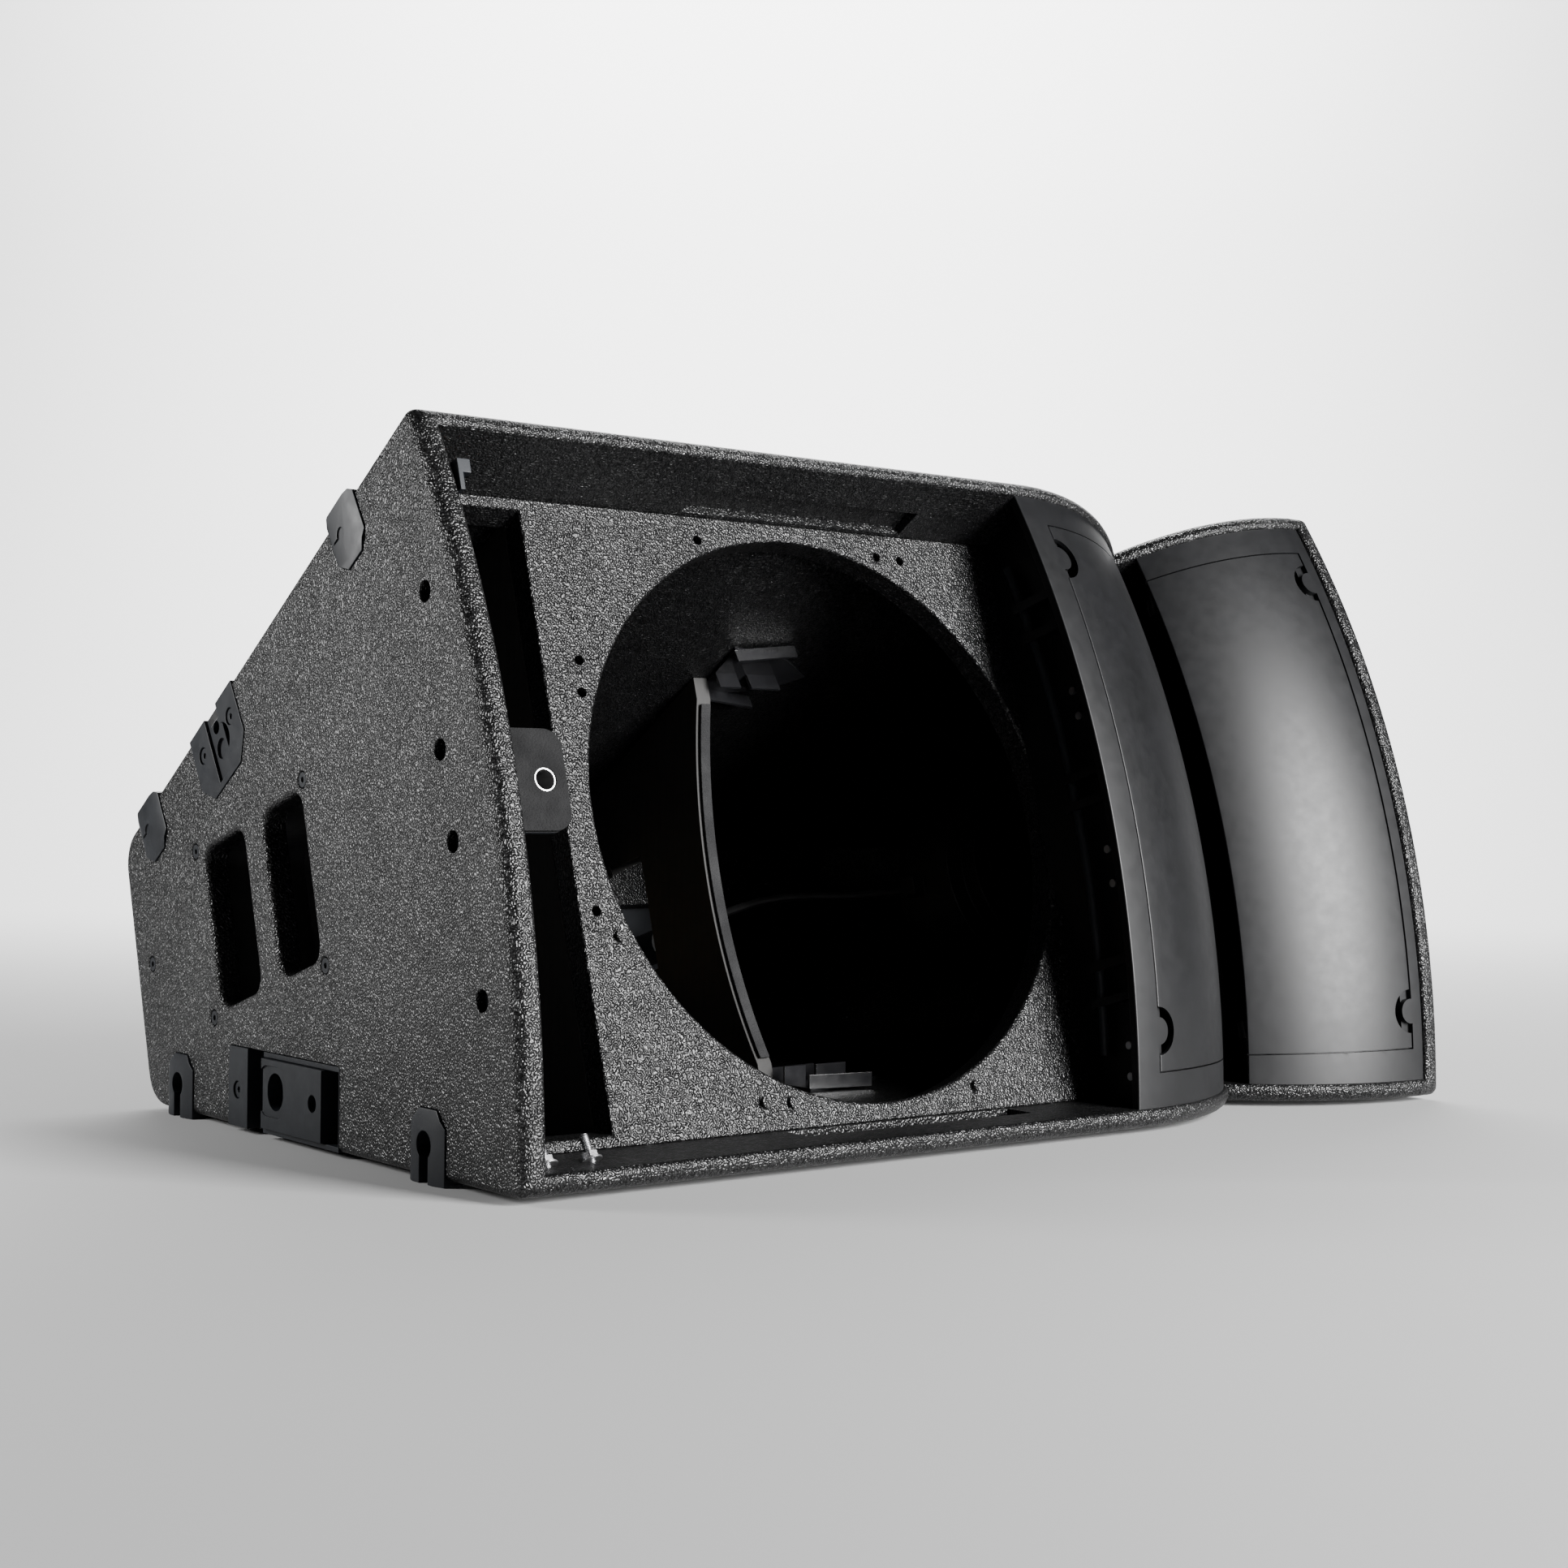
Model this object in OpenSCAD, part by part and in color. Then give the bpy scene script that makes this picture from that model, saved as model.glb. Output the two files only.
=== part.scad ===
// Line array loudspeaker cabinet: a wedge of plywood panels standing on its bottom face, with a
// bare woofer bay, a slot port, a horn with two hinged fins, and rigging along both side edges.
// Panels are drawn in the cabinet frame: x from the left face, y back from the front corners,
// z up from mid height, with the wedge's apex behind at [apex_y, 0]. standing() sets it down.

/* [Cabinet] */
// Width over the side panels
body_w = 744; // [730:1:760]
// Height of the front corners
front_h = 430; // [426:1:434]
// Depth from the front corners to the rear face
body_d = 436; // [430:1:442]
// Angle between the top and the bottom panels
wedge_angle = 33; // [32.5:0.1:33.5]
// Radius of the rear top and bottom corners
rear_corner_r = 25; // [20:1:28]
// Thickness of the side panels
side_t = 15; // [15:1:16]
// Thickness of the top and bottom panels
panel_t = 12; // [12:0.5:13]
// Thickness of the rear panel
rear_t = 15; // [12:1:16]

/* [Woofer bay] */
// Depth of the baffle behind the front corners
baffle_y = 49.3; // [46:0.1:52]
// Thickness of the baffle
baffle_t = 18; // [15:1:20]
// Left edge of the baffle, which is the width of the port plus the side panel
baffle_x = 92.5; // [90:0.5:95]
// Radius of the woofer cut-out
woofer_r = 176.5; // [170:0.5:177]
// Distance of the woofer's centre from the left face
woofer_x = 289; // [287:1:291]
// Diameter of the woofer's bolt circle
woofer_pcd = 373; // [370:1:374]
// Number of bolts on that circle
woofer_bolts = 8; // [4:4:8]

/* [Horn] */
// Distance of the horn's centre from the left face
horn_x = 591.5; // [591:0.5:592]
// Half of the width of the flared mouth
flare_half = 140; // [139:1:141]
// Depth of the two flares where they would meet
flare_depth = 62; // [58:1:64]
// Step from the panel edges down to the flares
flare_step = 3; // [2:0.5:4]
// Wall of the flares and fins
flare_t = 3; // [2.5:0.5:3.5]
// Half of the width of the gap between the fins
throat_half = 12.5; // [12:0.5:13]
// Half of the angle that the fins span about the apex
fin_angle = 13.9; // [13.5:0.1:14]
// Distance of the fins' outer edges from the horn's centre
fin_half = 126; // [124:1:127]
// Air gap around each fin
fin_gap = 1; // [0.8:0.1:1.2]

/* [Handles and rigging] */
// Height of the handle slots
handle_h = 100; // [90:1:104]
// Depth of the handle cups
cup_depth = 62; // [50:1:70]
// Depth of the metal fittings let into the side panels
fitting_t = 12; // [12:0.5:12]
// How far the feet stand out of the top and bottom
foot_proud = 3.5; // [3:0.5:4]
// Travel of the rigging links
link_travel = 28; // [20:1:28]
// Travel of the rigging latches
latch_travel = 16; // [12:1:16]

/* [Hidden] */

// The wedge
half_wedge = wedge_angle / 2;
apex_y = front_h / 2 / tan(half_wedge);
front_r = apex_y / cos(half_wedge);
rear_inner_y = body_d - rear_t;
inner_off = panel_t / cos(half_wedge);
function half_height(y) = (apex_y - y) * tan(half_wedge);
function inner_height(y) = half_height(y) - inner_off;
corner_y = body_d - rear_corner_r;
corner_z = half_height(corner_y) - rear_corner_r / cos(half_wedge);

// Where the standing cabinet is set down: the middle of its outline over the floor
low_y = apex_y * cos(half_wedge) - front_r;
high_y = corner_y * cos(half_wedge) + corner_z * sin(half_wedge) + rear_corner_r;
floor_z = apex_y * sin(half_wedge) + foot_proud;

// The flares: arcs about a centre behind each lip, swept about the apex
flare_r = (pow(flare_half, 2) + pow(flare_depth, 2)) / (2 * flare_depth);
flare_c = front_r - flare_step - flare_r;
arc_steps = 24;
notch_start = 4;
smooth = 240;
big = 400;
frame_t = 6.3;
frame_half_left = 146.5;
frame_half_right = body_w - side_t - horn_x - 0.3;
rebate = 6;
pin_r = 2;
pin_dx = 21;
pin_y = 47;
pin_clear = 0.05;
end_z = (apex_y - pin_y) * tan(fin_angle);
hinge_z = [end_z - 22, end_z - 10];
lug_z = [end_z - 5, end_z + 6];

// Woofer bay details
baffle_to_horn = 82;
port_sill = 7;
port_wall_t = 15;
port_depth = 170;
bolt_hole_r = 2.8;
spare_hole_r = 193.5;
spare_angles = [62, 152, 197, 242];
relief_x = [207, 381];
relief_r = [704.5, 726];
relief_d = 6;
divider_x = [318, 330];
divider_front_y = 206;
divider_arc_r = 370;
strip_t = 3;
strip_half = 122;

// Side panel fittings: distances are from the apex along the edge, and in from the edge
fit_gap = 0.15;
foot_len = 36;
foot_fronts = [664, 351];
foot_rim = 0.8;
foot_raise = 2.6;
rig_r = [427, 496];
rig_deep = 51;
link_r = [452, 470.5];
frame_r = [421, 563];
frame_deep = 48;
frame_cut = 1.5;
latch_r = [469.4, 546];
handle_y = [[180, 231], [259, 315]];
cup_y = [168, 330];
cup_screw_at = [[175, 55], [175, -55], [327, 53], [327, -53], [410, 0]];
side_hole_r = 5.65;
side_hole_deep = 9;
side_holes = [[708, 25], [708, -25], [723, 111], [723, -111]];
insert_x = 41.6;
insert_r = 5.5;

// Rear plate
plate_x = 440;
plate_w = 190;
plate_h = 96;
plate_t = 3;
socket_dx = 38;

paint = [0.11, 0.11, 0.115];
satin = [0.07, 0.07, 0.075];
metal = [0.09, 0.09, 0.10];
steel = [0.62, 0.62, 0.64];
bare_ply = [0.42, 0.33, 0.22];
foam = [0.17, 0.17, 0.17];

// ---- Frames ----

module standing() {
    translate([-body_w / 2, -(low_y + high_y) / 2, floor_z]) rotate([-half_wedge, 0, 0]) children();
}

// A [y, z] outline made solid between two distances from the left face
module across(x0, x1) {
    translate([x0, 0, 0]) rotate([90, 0, 90]) linear_extrude(x1 - x0) children();
}

// A [distance from apex, x] outline swept about the apex from angle a0 to a1
module swept(a0, a1) {
    translate([0, apex_y, 0]) rotate([-90, 0, 0]) rotate([0, 90, 0]) rotate([0, 0, a0])
        rotate_extrude(angle = a1 - a0, $fn = smooth) children();
}

// Along the top edge of the left side panel: x from the apex to the front, y out of the top
// face, z out of the side face
module top_edge() {
    translate([0, apex_y, 0]) rotate([90 - half_wedge, 0, 0]) rotate([0, -90, 0]) children();
}

module bottom_edge() {
    mirror([0, 0, 1]) top_edge() children();
}

module right_hand() {
    translate([body_w, 0, 0]) mirror([1, 0, 0]) children();
}

module both_sides() {
    children();
    right_hand() children();
}

module top_and_bottom() {
    children();
    mirror([0, 0, 1]) children();
}

// A cylinder along x, from distance x0 to x1
module rod_x(r, x0, x1, y, z) {
    translate([x0, y, z]) rotate([0, 90, 0]) cylinder(r = r, h = x1 - x0, $fn = 48);
}

// A cylinder along y
module rod_y(r, y0, y1, x, z) {
    translate([x, y0, z]) rotate([-90, 0, 0]) cylinder(r = r, h = y1 - y0, $fn = 96);
}

// A box given by its low and high corners
module block(low, high) {
    translate(low) cube(high - low);
}

// ---- Outlines ----

// A rounded rectangle from low to high corner
module soft_rect(low, high, r) {
    translate([low[0], low[1] + r]) square([high[0] - low[0], high[1] - low[1] - 2 * r]);
    translate([low[0] + r, low[1]]) square([high[0] - low[0] - 2 * r, high[1] - low[1]]);
    for (x = [low[0] + r, high[0] - r], y = [low[1] + r, high[1] - r])
        translate([x, y]) circle(r = r, $fn = 48);
}

// Side outline of the cabinet in [y, z]
module wedge_outline() {
    sweep = 90 - half_wedge;
    upper = [for (i = [0:arc_steps]) let (a = sweep * (1 - i / arc_steps))
        [corner_y + rear_corner_r * cos(a), corner_z + rear_corner_r * sin(a)]];
    lower = [for (i = [arc_steps:-1:0]) [upper[i][0], -upper[i][1]]];
    front = -2 * rear_corner_r;
    intersection() {
        translate([apex_y, 0]) circle(r = front_r, $fn = smooth);
        polygon(concat([[front, half_height(front)]], upper, lower, [[front, -half_height(front)]]));
    }
}

// The space between the inner faces of the top and bottom panels, from y0 to y1
module inner_outline(y0, y1) {
    polygon([[y0, inner_height(y0)], [y1, inner_height(y1)],
        [y1, -inner_height(y1)], [y0, -inner_height(y0)]]);
}

// A point on a flare: side is -1 or 1, a the angle from its lip, off the distance in front
function flare_pt(side, a, off) = [flare_c + (flare_r + off) * cos(a),
    horn_x + side * (flare_half - (flare_r + off) * sin(a))];
function flare_a(dx) = asin((flare_half - dx) / flare_r);

// A strip of a flare's wall from dx0 to dx1 off the horn's centre, between two offsets
module flare_strip(side, dx0, dx1, off0, off1) {
    a0 = flare_a(min(dx0, flare_half));
    a1 = flare_a(dx1);
    lip = dx0 > flare_half;
    front = [for (i = [0:arc_steps]) flare_pt(side, a0 + (a1 - a0) * i / arc_steps, off1)];
    back = [for (i = [arc_steps:-1:0]) flare_pt(side, a0 + (a1 - a0) * i / arc_steps, off0)];
    lip_front = [[flare_c + flare_r + off1, horn_x + side * dx0]];
    lip_back = [[flare_c + flare_r + off0, horn_x + side * dx0]];
    polygon(concat(lip ? lip_front : [], front, back, lip ? lip_back : []));
}

// The notch that both flares cut into the top and bottom panels
module notch_outline() {
    meet = asin(flare_half / (flare_r + flare_step));
    angles = [for (i = [0:arc_steps]) notch_start + (meet - notch_start) * i / arc_steps];
    left = [for (a = angles) flare_pt(-1, a, flare_step)];
    right = [for (i = [arc_steps - 1:-1:0]) flare_pt(1, angles[i], flare_step)];
    polygon(concat([[front_r + 20, left[0][1]]], left, right, [[front_r + 20, right[0][1]]]));
}

// ---- Plywood ----

module slab(x0, x1) {
    difference() {
        across(x0, x1) intersection() {
            wedge_outline();
            polygon([[-80, inner_height(-80)], [rear_inner_y, inner_height(rear_inner_y)],
                [rear_inner_y, big], [-80, big]]);
        }
        swept(-half_wedge - 3, half_wedge + 3) notch_outline();
        top_edge() block([relief_r[0], -panel_t - 1, -relief_x[1]],
            [relief_r[1], -panel_t + relief_d, -relief_x[0]]);
    }
}

module top_panel() {
    color(paint) standing() difference() {
        slab(side_t, body_w - side_t);
        bracket_screw_holes();
    }
}

module bottom_panel() {
    color(paint) standing() mirror([0, 0, 1]) difference() {
        slab(side_t, body_w - side_t);
        bracket_screw_holes();
        stud_holes();
    }
}

// Hexagonal outline of a fitting: r0 to r1 along the edge, deep in from it, corners cut off
module fitting_outline(r0, r1, deep, cut, gap = 0) {
    polygon([[r0 - gap, 10], [r1 + gap, 10], [r1 + gap, -deep + cut], [r1 - cut, -deep - gap],
        [r0 + cut, -deep - gap], [r0 - gap, -deep + cut]]);
}

module foot_outline(middle, gap = 0) {
    fitting_outline(middle - foot_len / 2, middle + foot_len / 2, foot_len, 9, gap);
}

module fitting_pockets() {
    pocket = fitting_t + fit_gap;
    top_edge() translate([0, 0, -pocket]) linear_extrude(pocket + 5) {
        for (m = foot_fronts) foot_outline(m, fit_gap);
        fitting_outline(rig_r[0], rig_r[1], rig_deep, 14, fit_gap);
    }
    bottom_edge() translate([0, 0, -pocket]) linear_extrude(pocket + 5) {
        for (m = foot_fronts) foot_outline(m, fit_gap);
        fitting_outline(frame_r[0], frame_r[1], frame_deep, frame_cut, fit_gap);
    }
}

module side_panel() {
    difference() {
        across(0, side_t) wedge_outline();
        fitting_pockets();
        for (s = handle_y)
            across(-1, side_t + 1) soft_rect([s[0], -handle_h / 2], [s[1], handle_h / 2], 11);
        for (p = cup_screw_at) rod_x(2.2, -1, side_t + 1, p[0], p[1]);
        for (p = cup_screw_at) rod_x(5.5, -1, 3.2, p[0], p[1]);
        for (h = side_holes)
            rod_x(side_hole_r, -1, side_hole_deep, apex_y - sqrt(pow(h[0], 2) - pow(h[1], 2)), h[1]);
    }
}

module side_panel_left() {
    color(paint) standing() side_panel();
}

module side_panel_right() {
    color(paint) standing() right_hand() side_panel();
}

module rear_panel() {
    color(paint) standing() difference() {
        across(side_t, body_w - side_t) intersection() {
            wedge_outline();
            translate([rear_inner_y, -big]) square([big, 2 * big]);
        }
        block([plate_x - plate_w / 2 - fit_gap, body_d - plate_t, -plate_h / 2 - fit_gap],
            [plate_x + plate_w / 2 + fit_gap, body_d + 5, plate_h / 2 + fit_gap]);
        block([plate_x - plate_w / 2 + 14, 0, -plate_h / 2 + 14],
            [plate_x + plate_w / 2 - 14, big * 2, plate_h / 2 - 14]);
        plate_screw_places() rod_y(1.6, rear_inner_y - 1, body_d + 1, 0, 0);
    }
}

module baffle() {
    right_x = horn_x - baffle_to_horn;
    y1 = baffle_y + baffle_t;
    color(paint) standing() difference() {
        across(side_t, right_x) inner_outline(baffle_y, y1);
        across(side_t - 1, baffle_x) polygon([
            [0, inner_height(baffle_y) - port_sill], [y1 + 1, inner_height(y1) - port_sill],
            [y1 + 1, -inner_height(y1) + port_sill], [0, -inner_height(baffle_y) + port_sill]]);
        rod_y(woofer_r, baffle_y - 1, y1 + 1, woofer_x, 0);
        for (i = [0:woofer_bolts - 1]) let (a = 22.5 + i * 360 / woofer_bolts)
            rod_y(bolt_hole_r, baffle_y - 1, y1 + 1,
                woofer_x + woofer_pcd / 2 * cos(a), woofer_pcd / 2 * sin(a));
        for (a = spare_angles)
            rod_y(bolt_hole_r, baffle_y - 1, y1 + 1,
                woofer_x + spare_hole_r * cos(a), spare_hole_r * sin(a));
    }
}

module port_wall() {
    y0 = baffle_y + baffle_t;
    color(bare_ply) standing() across(baffle_x, baffle_x + port_wall_t)
        inner_outline(y0, cup_y[0] - 4);
}

// Upright wall beside the magnet, its front edge hollowed to a shallow arc
module bay_divider() {
    color(bare_ply) standing() difference() {
        across(divider_x[0], divider_x[1]) difference() {
            inner_outline(divider_front_y, rear_inner_y);
            translate([divider_front_y + 22 - divider_arc_r, 0]) circle(r = divider_arc_r, $fn = smooth);
        }
        block([divider_x[0] - 1, 300, -40], [divider_x[1] + 1, 380, 40]);
    }
}

// Soft strip along the hollow edge of the bay divider
module edge_strip() {
    mid = (divider_x[0] + divider_x[1]) / 2;
    color(foam) standing() across(mid - 4, mid + 4) intersection() {
        translate([divider_front_y + 22 - divider_arc_r, 0]) difference() {
            circle(r = divider_arc_r, $fn = smooth);
            circle(r = divider_arc_r - strip_t, $fn = smooth);
        }
        translate([0, -strip_half]) square([big, 2 * strip_half]);
    }
}

module shelf_braces() {
    color(bare_ply) standing() for (z = [34, -46])
        block([side_t, cup_y[1] + 6, z], [divider_x[0], rear_inner_y, z + 9]);
}

// Ribbed brackets that tie the bay divider to the top and bottom panels
bracket_r = [520, 575];
bracket_x = [330, 408];
module bracket_screw_holes() {
    top_edge() for (x = [352, 386]) translate([548, -panel_t - 1, -x]) rotate([-90, 0, 0])
        cylinder(r = 1.6, h = 7, $fn = 24);
}

module divider_bracket() {
    plate_t = 2.5;
    rib_h = 11;
    difference() {
        top_edge() translate([0, -panel_t, 0]) {
            rotate([90, 0, 0]) linear_extrude(plate_t) polygon([
                [bracket_r[0], -bracket_x[0]], [bracket_r[1], -bracket_x[0]],
                [bracket_r[1] - 8, -bracket_x[1] + 30], [548, -bracket_x[1]],
                [bracket_r[0] + 12, -bracket_x[1] + 22]]);
            for (e = [[bracket_r[1] - 2, -11], [bracket_r[0] + 8, 9]])
                translate([e[0], -rib_h, -bracket_x[0]]) rotate([0, e[1], 0]) rotate([0, 90, 0])
                    translate([0, 0, -1]) cube([46, rib_h - plate_t + 0.5, 2]);
            translate([546, -rib_h - 3, -bracket_x[0] - 52]) cube([2, rib_h + 1, 52]);
        }
        bracket_screw_holes();
        top_edge() for (x = [352, 386]) translate([548, -60, -x]) rotate([-90, 0, 0])
            cylinder(r = 4.5, h = 60 - panel_t - plate_t, $fn = 32);
    }
}

module divider_brackets() {
    color(satin) standing() top_and_bottom() divider_bracket();
}

// ---- Handles ----

module handle_cup() {
    wall = 4;
    z = handle_h / 2 + 8;
    difference() {
        union() {
            across(side_t, side_t + cup_depth) soft_rect([cup_y[0], -z], [cup_y[1], z], 16);
            across(side_t, side_t + wall)
                soft_rect([cup_y[0] - 1, -z - 6], [cup_y[1] + 6, z + 6], 12);
        }
        across(side_t - 1, side_t + cup_depth - wall)
            soft_rect([cup_y[0] + wall, -z + wall], [cup_y[1] - wall, z - wall], 12);
        for (p = cup_screw_at) rod_x(1.8, side_t - 1, side_t + 8, p[0], p[1]);
    }
}

module handle_cup_left() {
    color(satin) standing() handle_cup();
}

module handle_cup_right() {
    color(satin) standing() right_hand() handle_cup();
}

// Countersunk screw along +x with its head's face at x = 0
module flat_screw(head_r, shank_r, len) {
    rotate([0, 90, 0]) difference() {
        union() {
            cylinder(r1 = head_r, r2 = shank_r, h = head_r - shank_r, $fn = 32);
            cylinder(r = shank_r, h = len, $fn = 24);
        }
        translate([0, 0, -1]) cylinder(r = head_r * 0.4, h = 2.4, $fn = 6);
    }
}

module cup_screws() {
    color(metal) standing() both_sides() for (p = cup_screw_at)
        translate([0.4, p[0], p[1]]) flat_screw(4.6, 1.7, p[1] == 0 ? 12 : 17);
}

// ---- Feet ----

// Raised middle of a foot, sloping down to its sides and to its inner end
module foot_block(m) {
    half = foot_len / 2;
    intersection() {
        translate([0, 0, -1]) linear_extrude(foot_raise + 1) foot_outline(m);
        translate([0, foot_proud, 0]) rotate([90, 0, 0]) linear_extrude(2 * foot_len) polygon([
            [m - half, -1], [m - half, foot_rim], [m - half + 6, foot_raise],
            [m + half - 9, foot_raise], [m + half, foot_rim], [m + half, -1]]);
        across(m - foot_len, m + foot_len) polygon([[-foot_len, -1], [-foot_len, foot_rim],
            [-foot_len + 11, foot_raise], [foot_len, foot_raise], [foot_len, -1]]);
    }
}

module foot_plate(m) {
    translate([0, 0, -fitting_t]) linear_extrude(fitting_t + foot_rim) intersection() {
        foot_outline(m);
        translate([m - foot_len, -2 * foot_len]) square([2 * foot_len, 2 * foot_len + foot_proud]);
    }
    foot_block(m);
}

// Upper foot: stands out of the top with sloping ends, and has a hooked step in its face
module foot_upper(m) {
    half = foot_len / 2;
    difference() {
        foot_plate(m);
        for (s = [-1, 1]) translate([m + s * half, 0, -big]) linear_extrude(2 * big)
            polygon([[s, -1], [-4 * s, foot_proud + 0.1], [-4 * s, 12], [s, 12]]);
        translate([0, 0, foot_raise - 1.1]) linear_extrude(3) {
            translate([m - 4, -15]) circle(r = 4, $fn = 48);
            translate([m - half - 1, -foot_len]) square([half - 3, foot_len - 15]);
        }
    }
}

// Lower foot: the same plate with a keyhole that opens at the bottom
module foot_lower(m) {
    difference() {
        foot_plate(m);
        translate([m - 1, -17, -6]) cylinder(r = 7.5, h = 12, $fn = 48);
        block([m - 5.5, -17, -6], [m + 3.5, foot_proud + 1, 6]);
    }
}

module feet_upper() {
    color(metal) standing() both_sides() top_edge() for (m = foot_fronts) foot_upper(m);
}

module feet_lower() {
    color(metal) standing() both_sides() bottom_edge() for (m = foot_fronts) foot_lower(m);
}

// ---- Rigging ----

rig_screw_at = [[483.7, 18.4], [439.6, 18.4]];
frame_screw_at = [433, 22];
groove_top = 8;
groove_end = 46.4;
flange_len = 10;

module rig_screw_hole(p, depth) {
    translate([p[0], -p[1], -depth]) cylinder(r = 2.2, h = depth + 2, $fn = 32);
    translate([p[0], -p[1], -3.6]) cylinder(r = 5.4, h = 6, $fn = 48);
}

module rig_plate() {
    top_edge() difference() {
        translate([0, 0, -fitting_t]) linear_extrude(fitting_t + 0.6) intersection() {
            fitting_outline(rig_r[0], rig_r[1], rig_deep, 14);
            translate([0, -big]) square([2 * big, big]);
        }
        block([link_r[0], -groove_end, -9], [link_r[1], 1, 2]);
        block([link_r[0] - 3.5, -groove_end, -fitting_t - 1], [link_r[1] + 3.5, -groove_top, -5]);
        translate([link_r[1] - 3, -25, -4]) cylinder(r = 11, h = 6, $fn = 64);
        for (p = rig_screw_at) rig_screw_hole(p, fitting_t + 1);
    }
}

module rig_plate_left() {
    color(metal) standing() rig_plate();
}

module rig_plate_right() {
    color(metal) standing() right_hand() rig_plate();
}

// Captive link: a bar in the slot with a wider tail in the groove behind it
module rig_link() {
    tail = -groove_top - link_travel - flange_len - 0.1;
    top_edge() difference() {
        union() {
            block([link_r[0] + 0.4, tail, -8.6], [link_r[1] - 0.4, -1, -1.4]);
            block([link_r[0] - 3, tail, -8.6], [link_r[1] + 3, tail + flange_len, -5.4]);
        }
        translate([(link_r[0] + link_r[1]) / 2, -11.5, -20]) cylinder(r = 4.2, h = 30, $fn = 48);
        translate([(link_r[0] + link_r[1]) / 2, -27, -3.4]) cylinder(r = 6.5, h = 10, $fn = 48);
    }
}

module link_left() {
    color(steel) standing() rig_link();
}

module link_right() {
    color(steel) standing() right_hand() rig_link();
}

// Lower frame: an end block, an open slot, and lipped rails for the latch
module rig_frame() {
    lip = 3;
    bottom_edge() difference() {
        intersection() {
            union() {
                block([frame_r[0], -frame_deep, -fitting_t], [frame_r[1], 0, -8.5]);
                block([frame_r[0], -frame_deep, -fitting_t], [frame_r[0] + 26, 0, 0.6]);
                block([frame_r[1] - 0.8, -frame_deep, -fitting_t], [frame_r[1], 0, 0]);
                for (y = [-frame_deep, -lip])
                    block([latch_r[0] - 2, y, -5.9], [frame_r[1], y + lip, 0]);
                for (y = [-frame_deep, -0.7])
                    block([latch_r[0] - 2, y, -fitting_t], [frame_r[1], y + 0.7, 0]);
            }
            translate([0, 0, -big]) linear_extrude(2 * big)
                fitting_outline(frame_r[0], frame_r[1], frame_deep, frame_cut);
        }
        rig_screw_hole(frame_screw_at, fitting_t + 1);
    }
}

module rig_frame_left() {
    color(metal) standing() rig_frame();
}

module rig_frame_right() {
    color(metal) standing() right_hand() rig_frame();
}

module rig_latch() {
    finger = [486, -26];
    bottom_edge() difference() {
        union() {
            block([latch_r[0], -frame_deep + 1.1, -8.2], [latch_r[1], -1.1, -6.2]);
            block([latch_r[0], -frame_deep + 3.4, -8.2], [latch_r[1], -3.4, 2.6]);
        }
        translate([0, 0, -20]) linear_extrude(40)
            soft_rect([finger[0] - 10, finger[1] - 11], [finger[0] + 10, finger[1] + 11], 9.9);
        translate([0, 0, 1.4]) linear_extrude(10)
            soft_rect([latch_r[0] - 5, finger[1] - 15], [finger[0] + 17, finger[1] + 15], 13);
        translate([535, -24.6, -20]) cylinder(r = 5, h = 40, $fn = 48);
    }
}

module latch_left() {
    color(metal) standing() rig_latch();
}

module latch_right() {
    color(metal) standing() right_hand() rig_latch();
}

module rig_screws() {
    color(metal) standing() both_sides() {
        top_edge() for (p = rig_screw_at) translate([p[0], -p[1], -0.4])
            rotate([0, 90, 0]) flat_screw(5, 2.1, 11.5);
        bottom_edge() translate([frame_screw_at[0], -frame_screw_at[1], -0.4])
            rotate([0, 90, 0]) flat_screw(5, 2.1, 11.5);
    }
}

// ---- Grille fixing and small hardware ----

tab_y = -10;
module grille_bracket() {
    color(metal) standing() difference() {
        union() {
            translate([0, tab_y + 3, 0]) rotate([90, 0, 0]) linear_extrude(3)
                soft_rect([side_t, -28], [side_t + 40, 28], 11);
            block([side_t, tab_y, -28], [side_t + 14, tab_y + 3, 28]);
            block([side_t, tab_y, -28], [side_t + 3, 34, 28]);
        }
        rod_y(insert_r + 1, tab_y - 1, tab_y + 5, insert_x, 0);
        for (z = [-17, 17]) rod_x(2, side_t - 1, side_t + 5, 24, z);
    }
}

module bracket_pad() {
    color(foam) standing() difference() {
        translate([0, tab_y, 0]) rotate([90, 0, 0]) linear_extrude(4) {
            soft_rect([side_t + 0.5, -28], [side_t + 40, 28], 11);
            translate([side_t + 0.5, -28]) square([14, 56]);
        }
        rod_y(insert_r + 1, tab_y - 5, tab_y + 1, insert_x, 0);
    }
}

module bracket_insert() {
    color(steel) standing() difference() {
        union() {
            rod_y(insert_r + 1, tab_y - 3.4, tab_y + 3, insert_x, 0);
            rod_y(insert_r + 1.8, tab_y + 3, tab_y + 12, insert_x, 0);
        }
        rod_y(insert_r, tab_y - 5, tab_y + 13, insert_x, 0);
    }
}

// Small hook inside the left lip, near the top
module lip_hook() {
    color(metal) standing() difference() {
        block([side_t, -15, 160], [side_t + 8, 4, 178]);
        block([side_t + 3, -16, 156], [side_t + 9, 5, 170]);
    }
}

module side_screws() {
    color(metal) standing() {
        both_sides() for (h = side_holes)
            translate([side_hole_deep - 4, apex_y - sqrt(pow(h[0], 2) - pow(h[1], 2)), h[1]])
                rotate([0, 90, 0]) difference() {
                    cylinder(r = side_hole_r - 0.6, h = 4, $fn = 48);
                    translate([0, 0, -1]) cylinder(r = 2.6, h = 3, $fn = 6);
                }
        for (z = [-17, 17]) rod_x(3.6, side_t + 3, side_t + 5.4, 24, z);
    }
}

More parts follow.
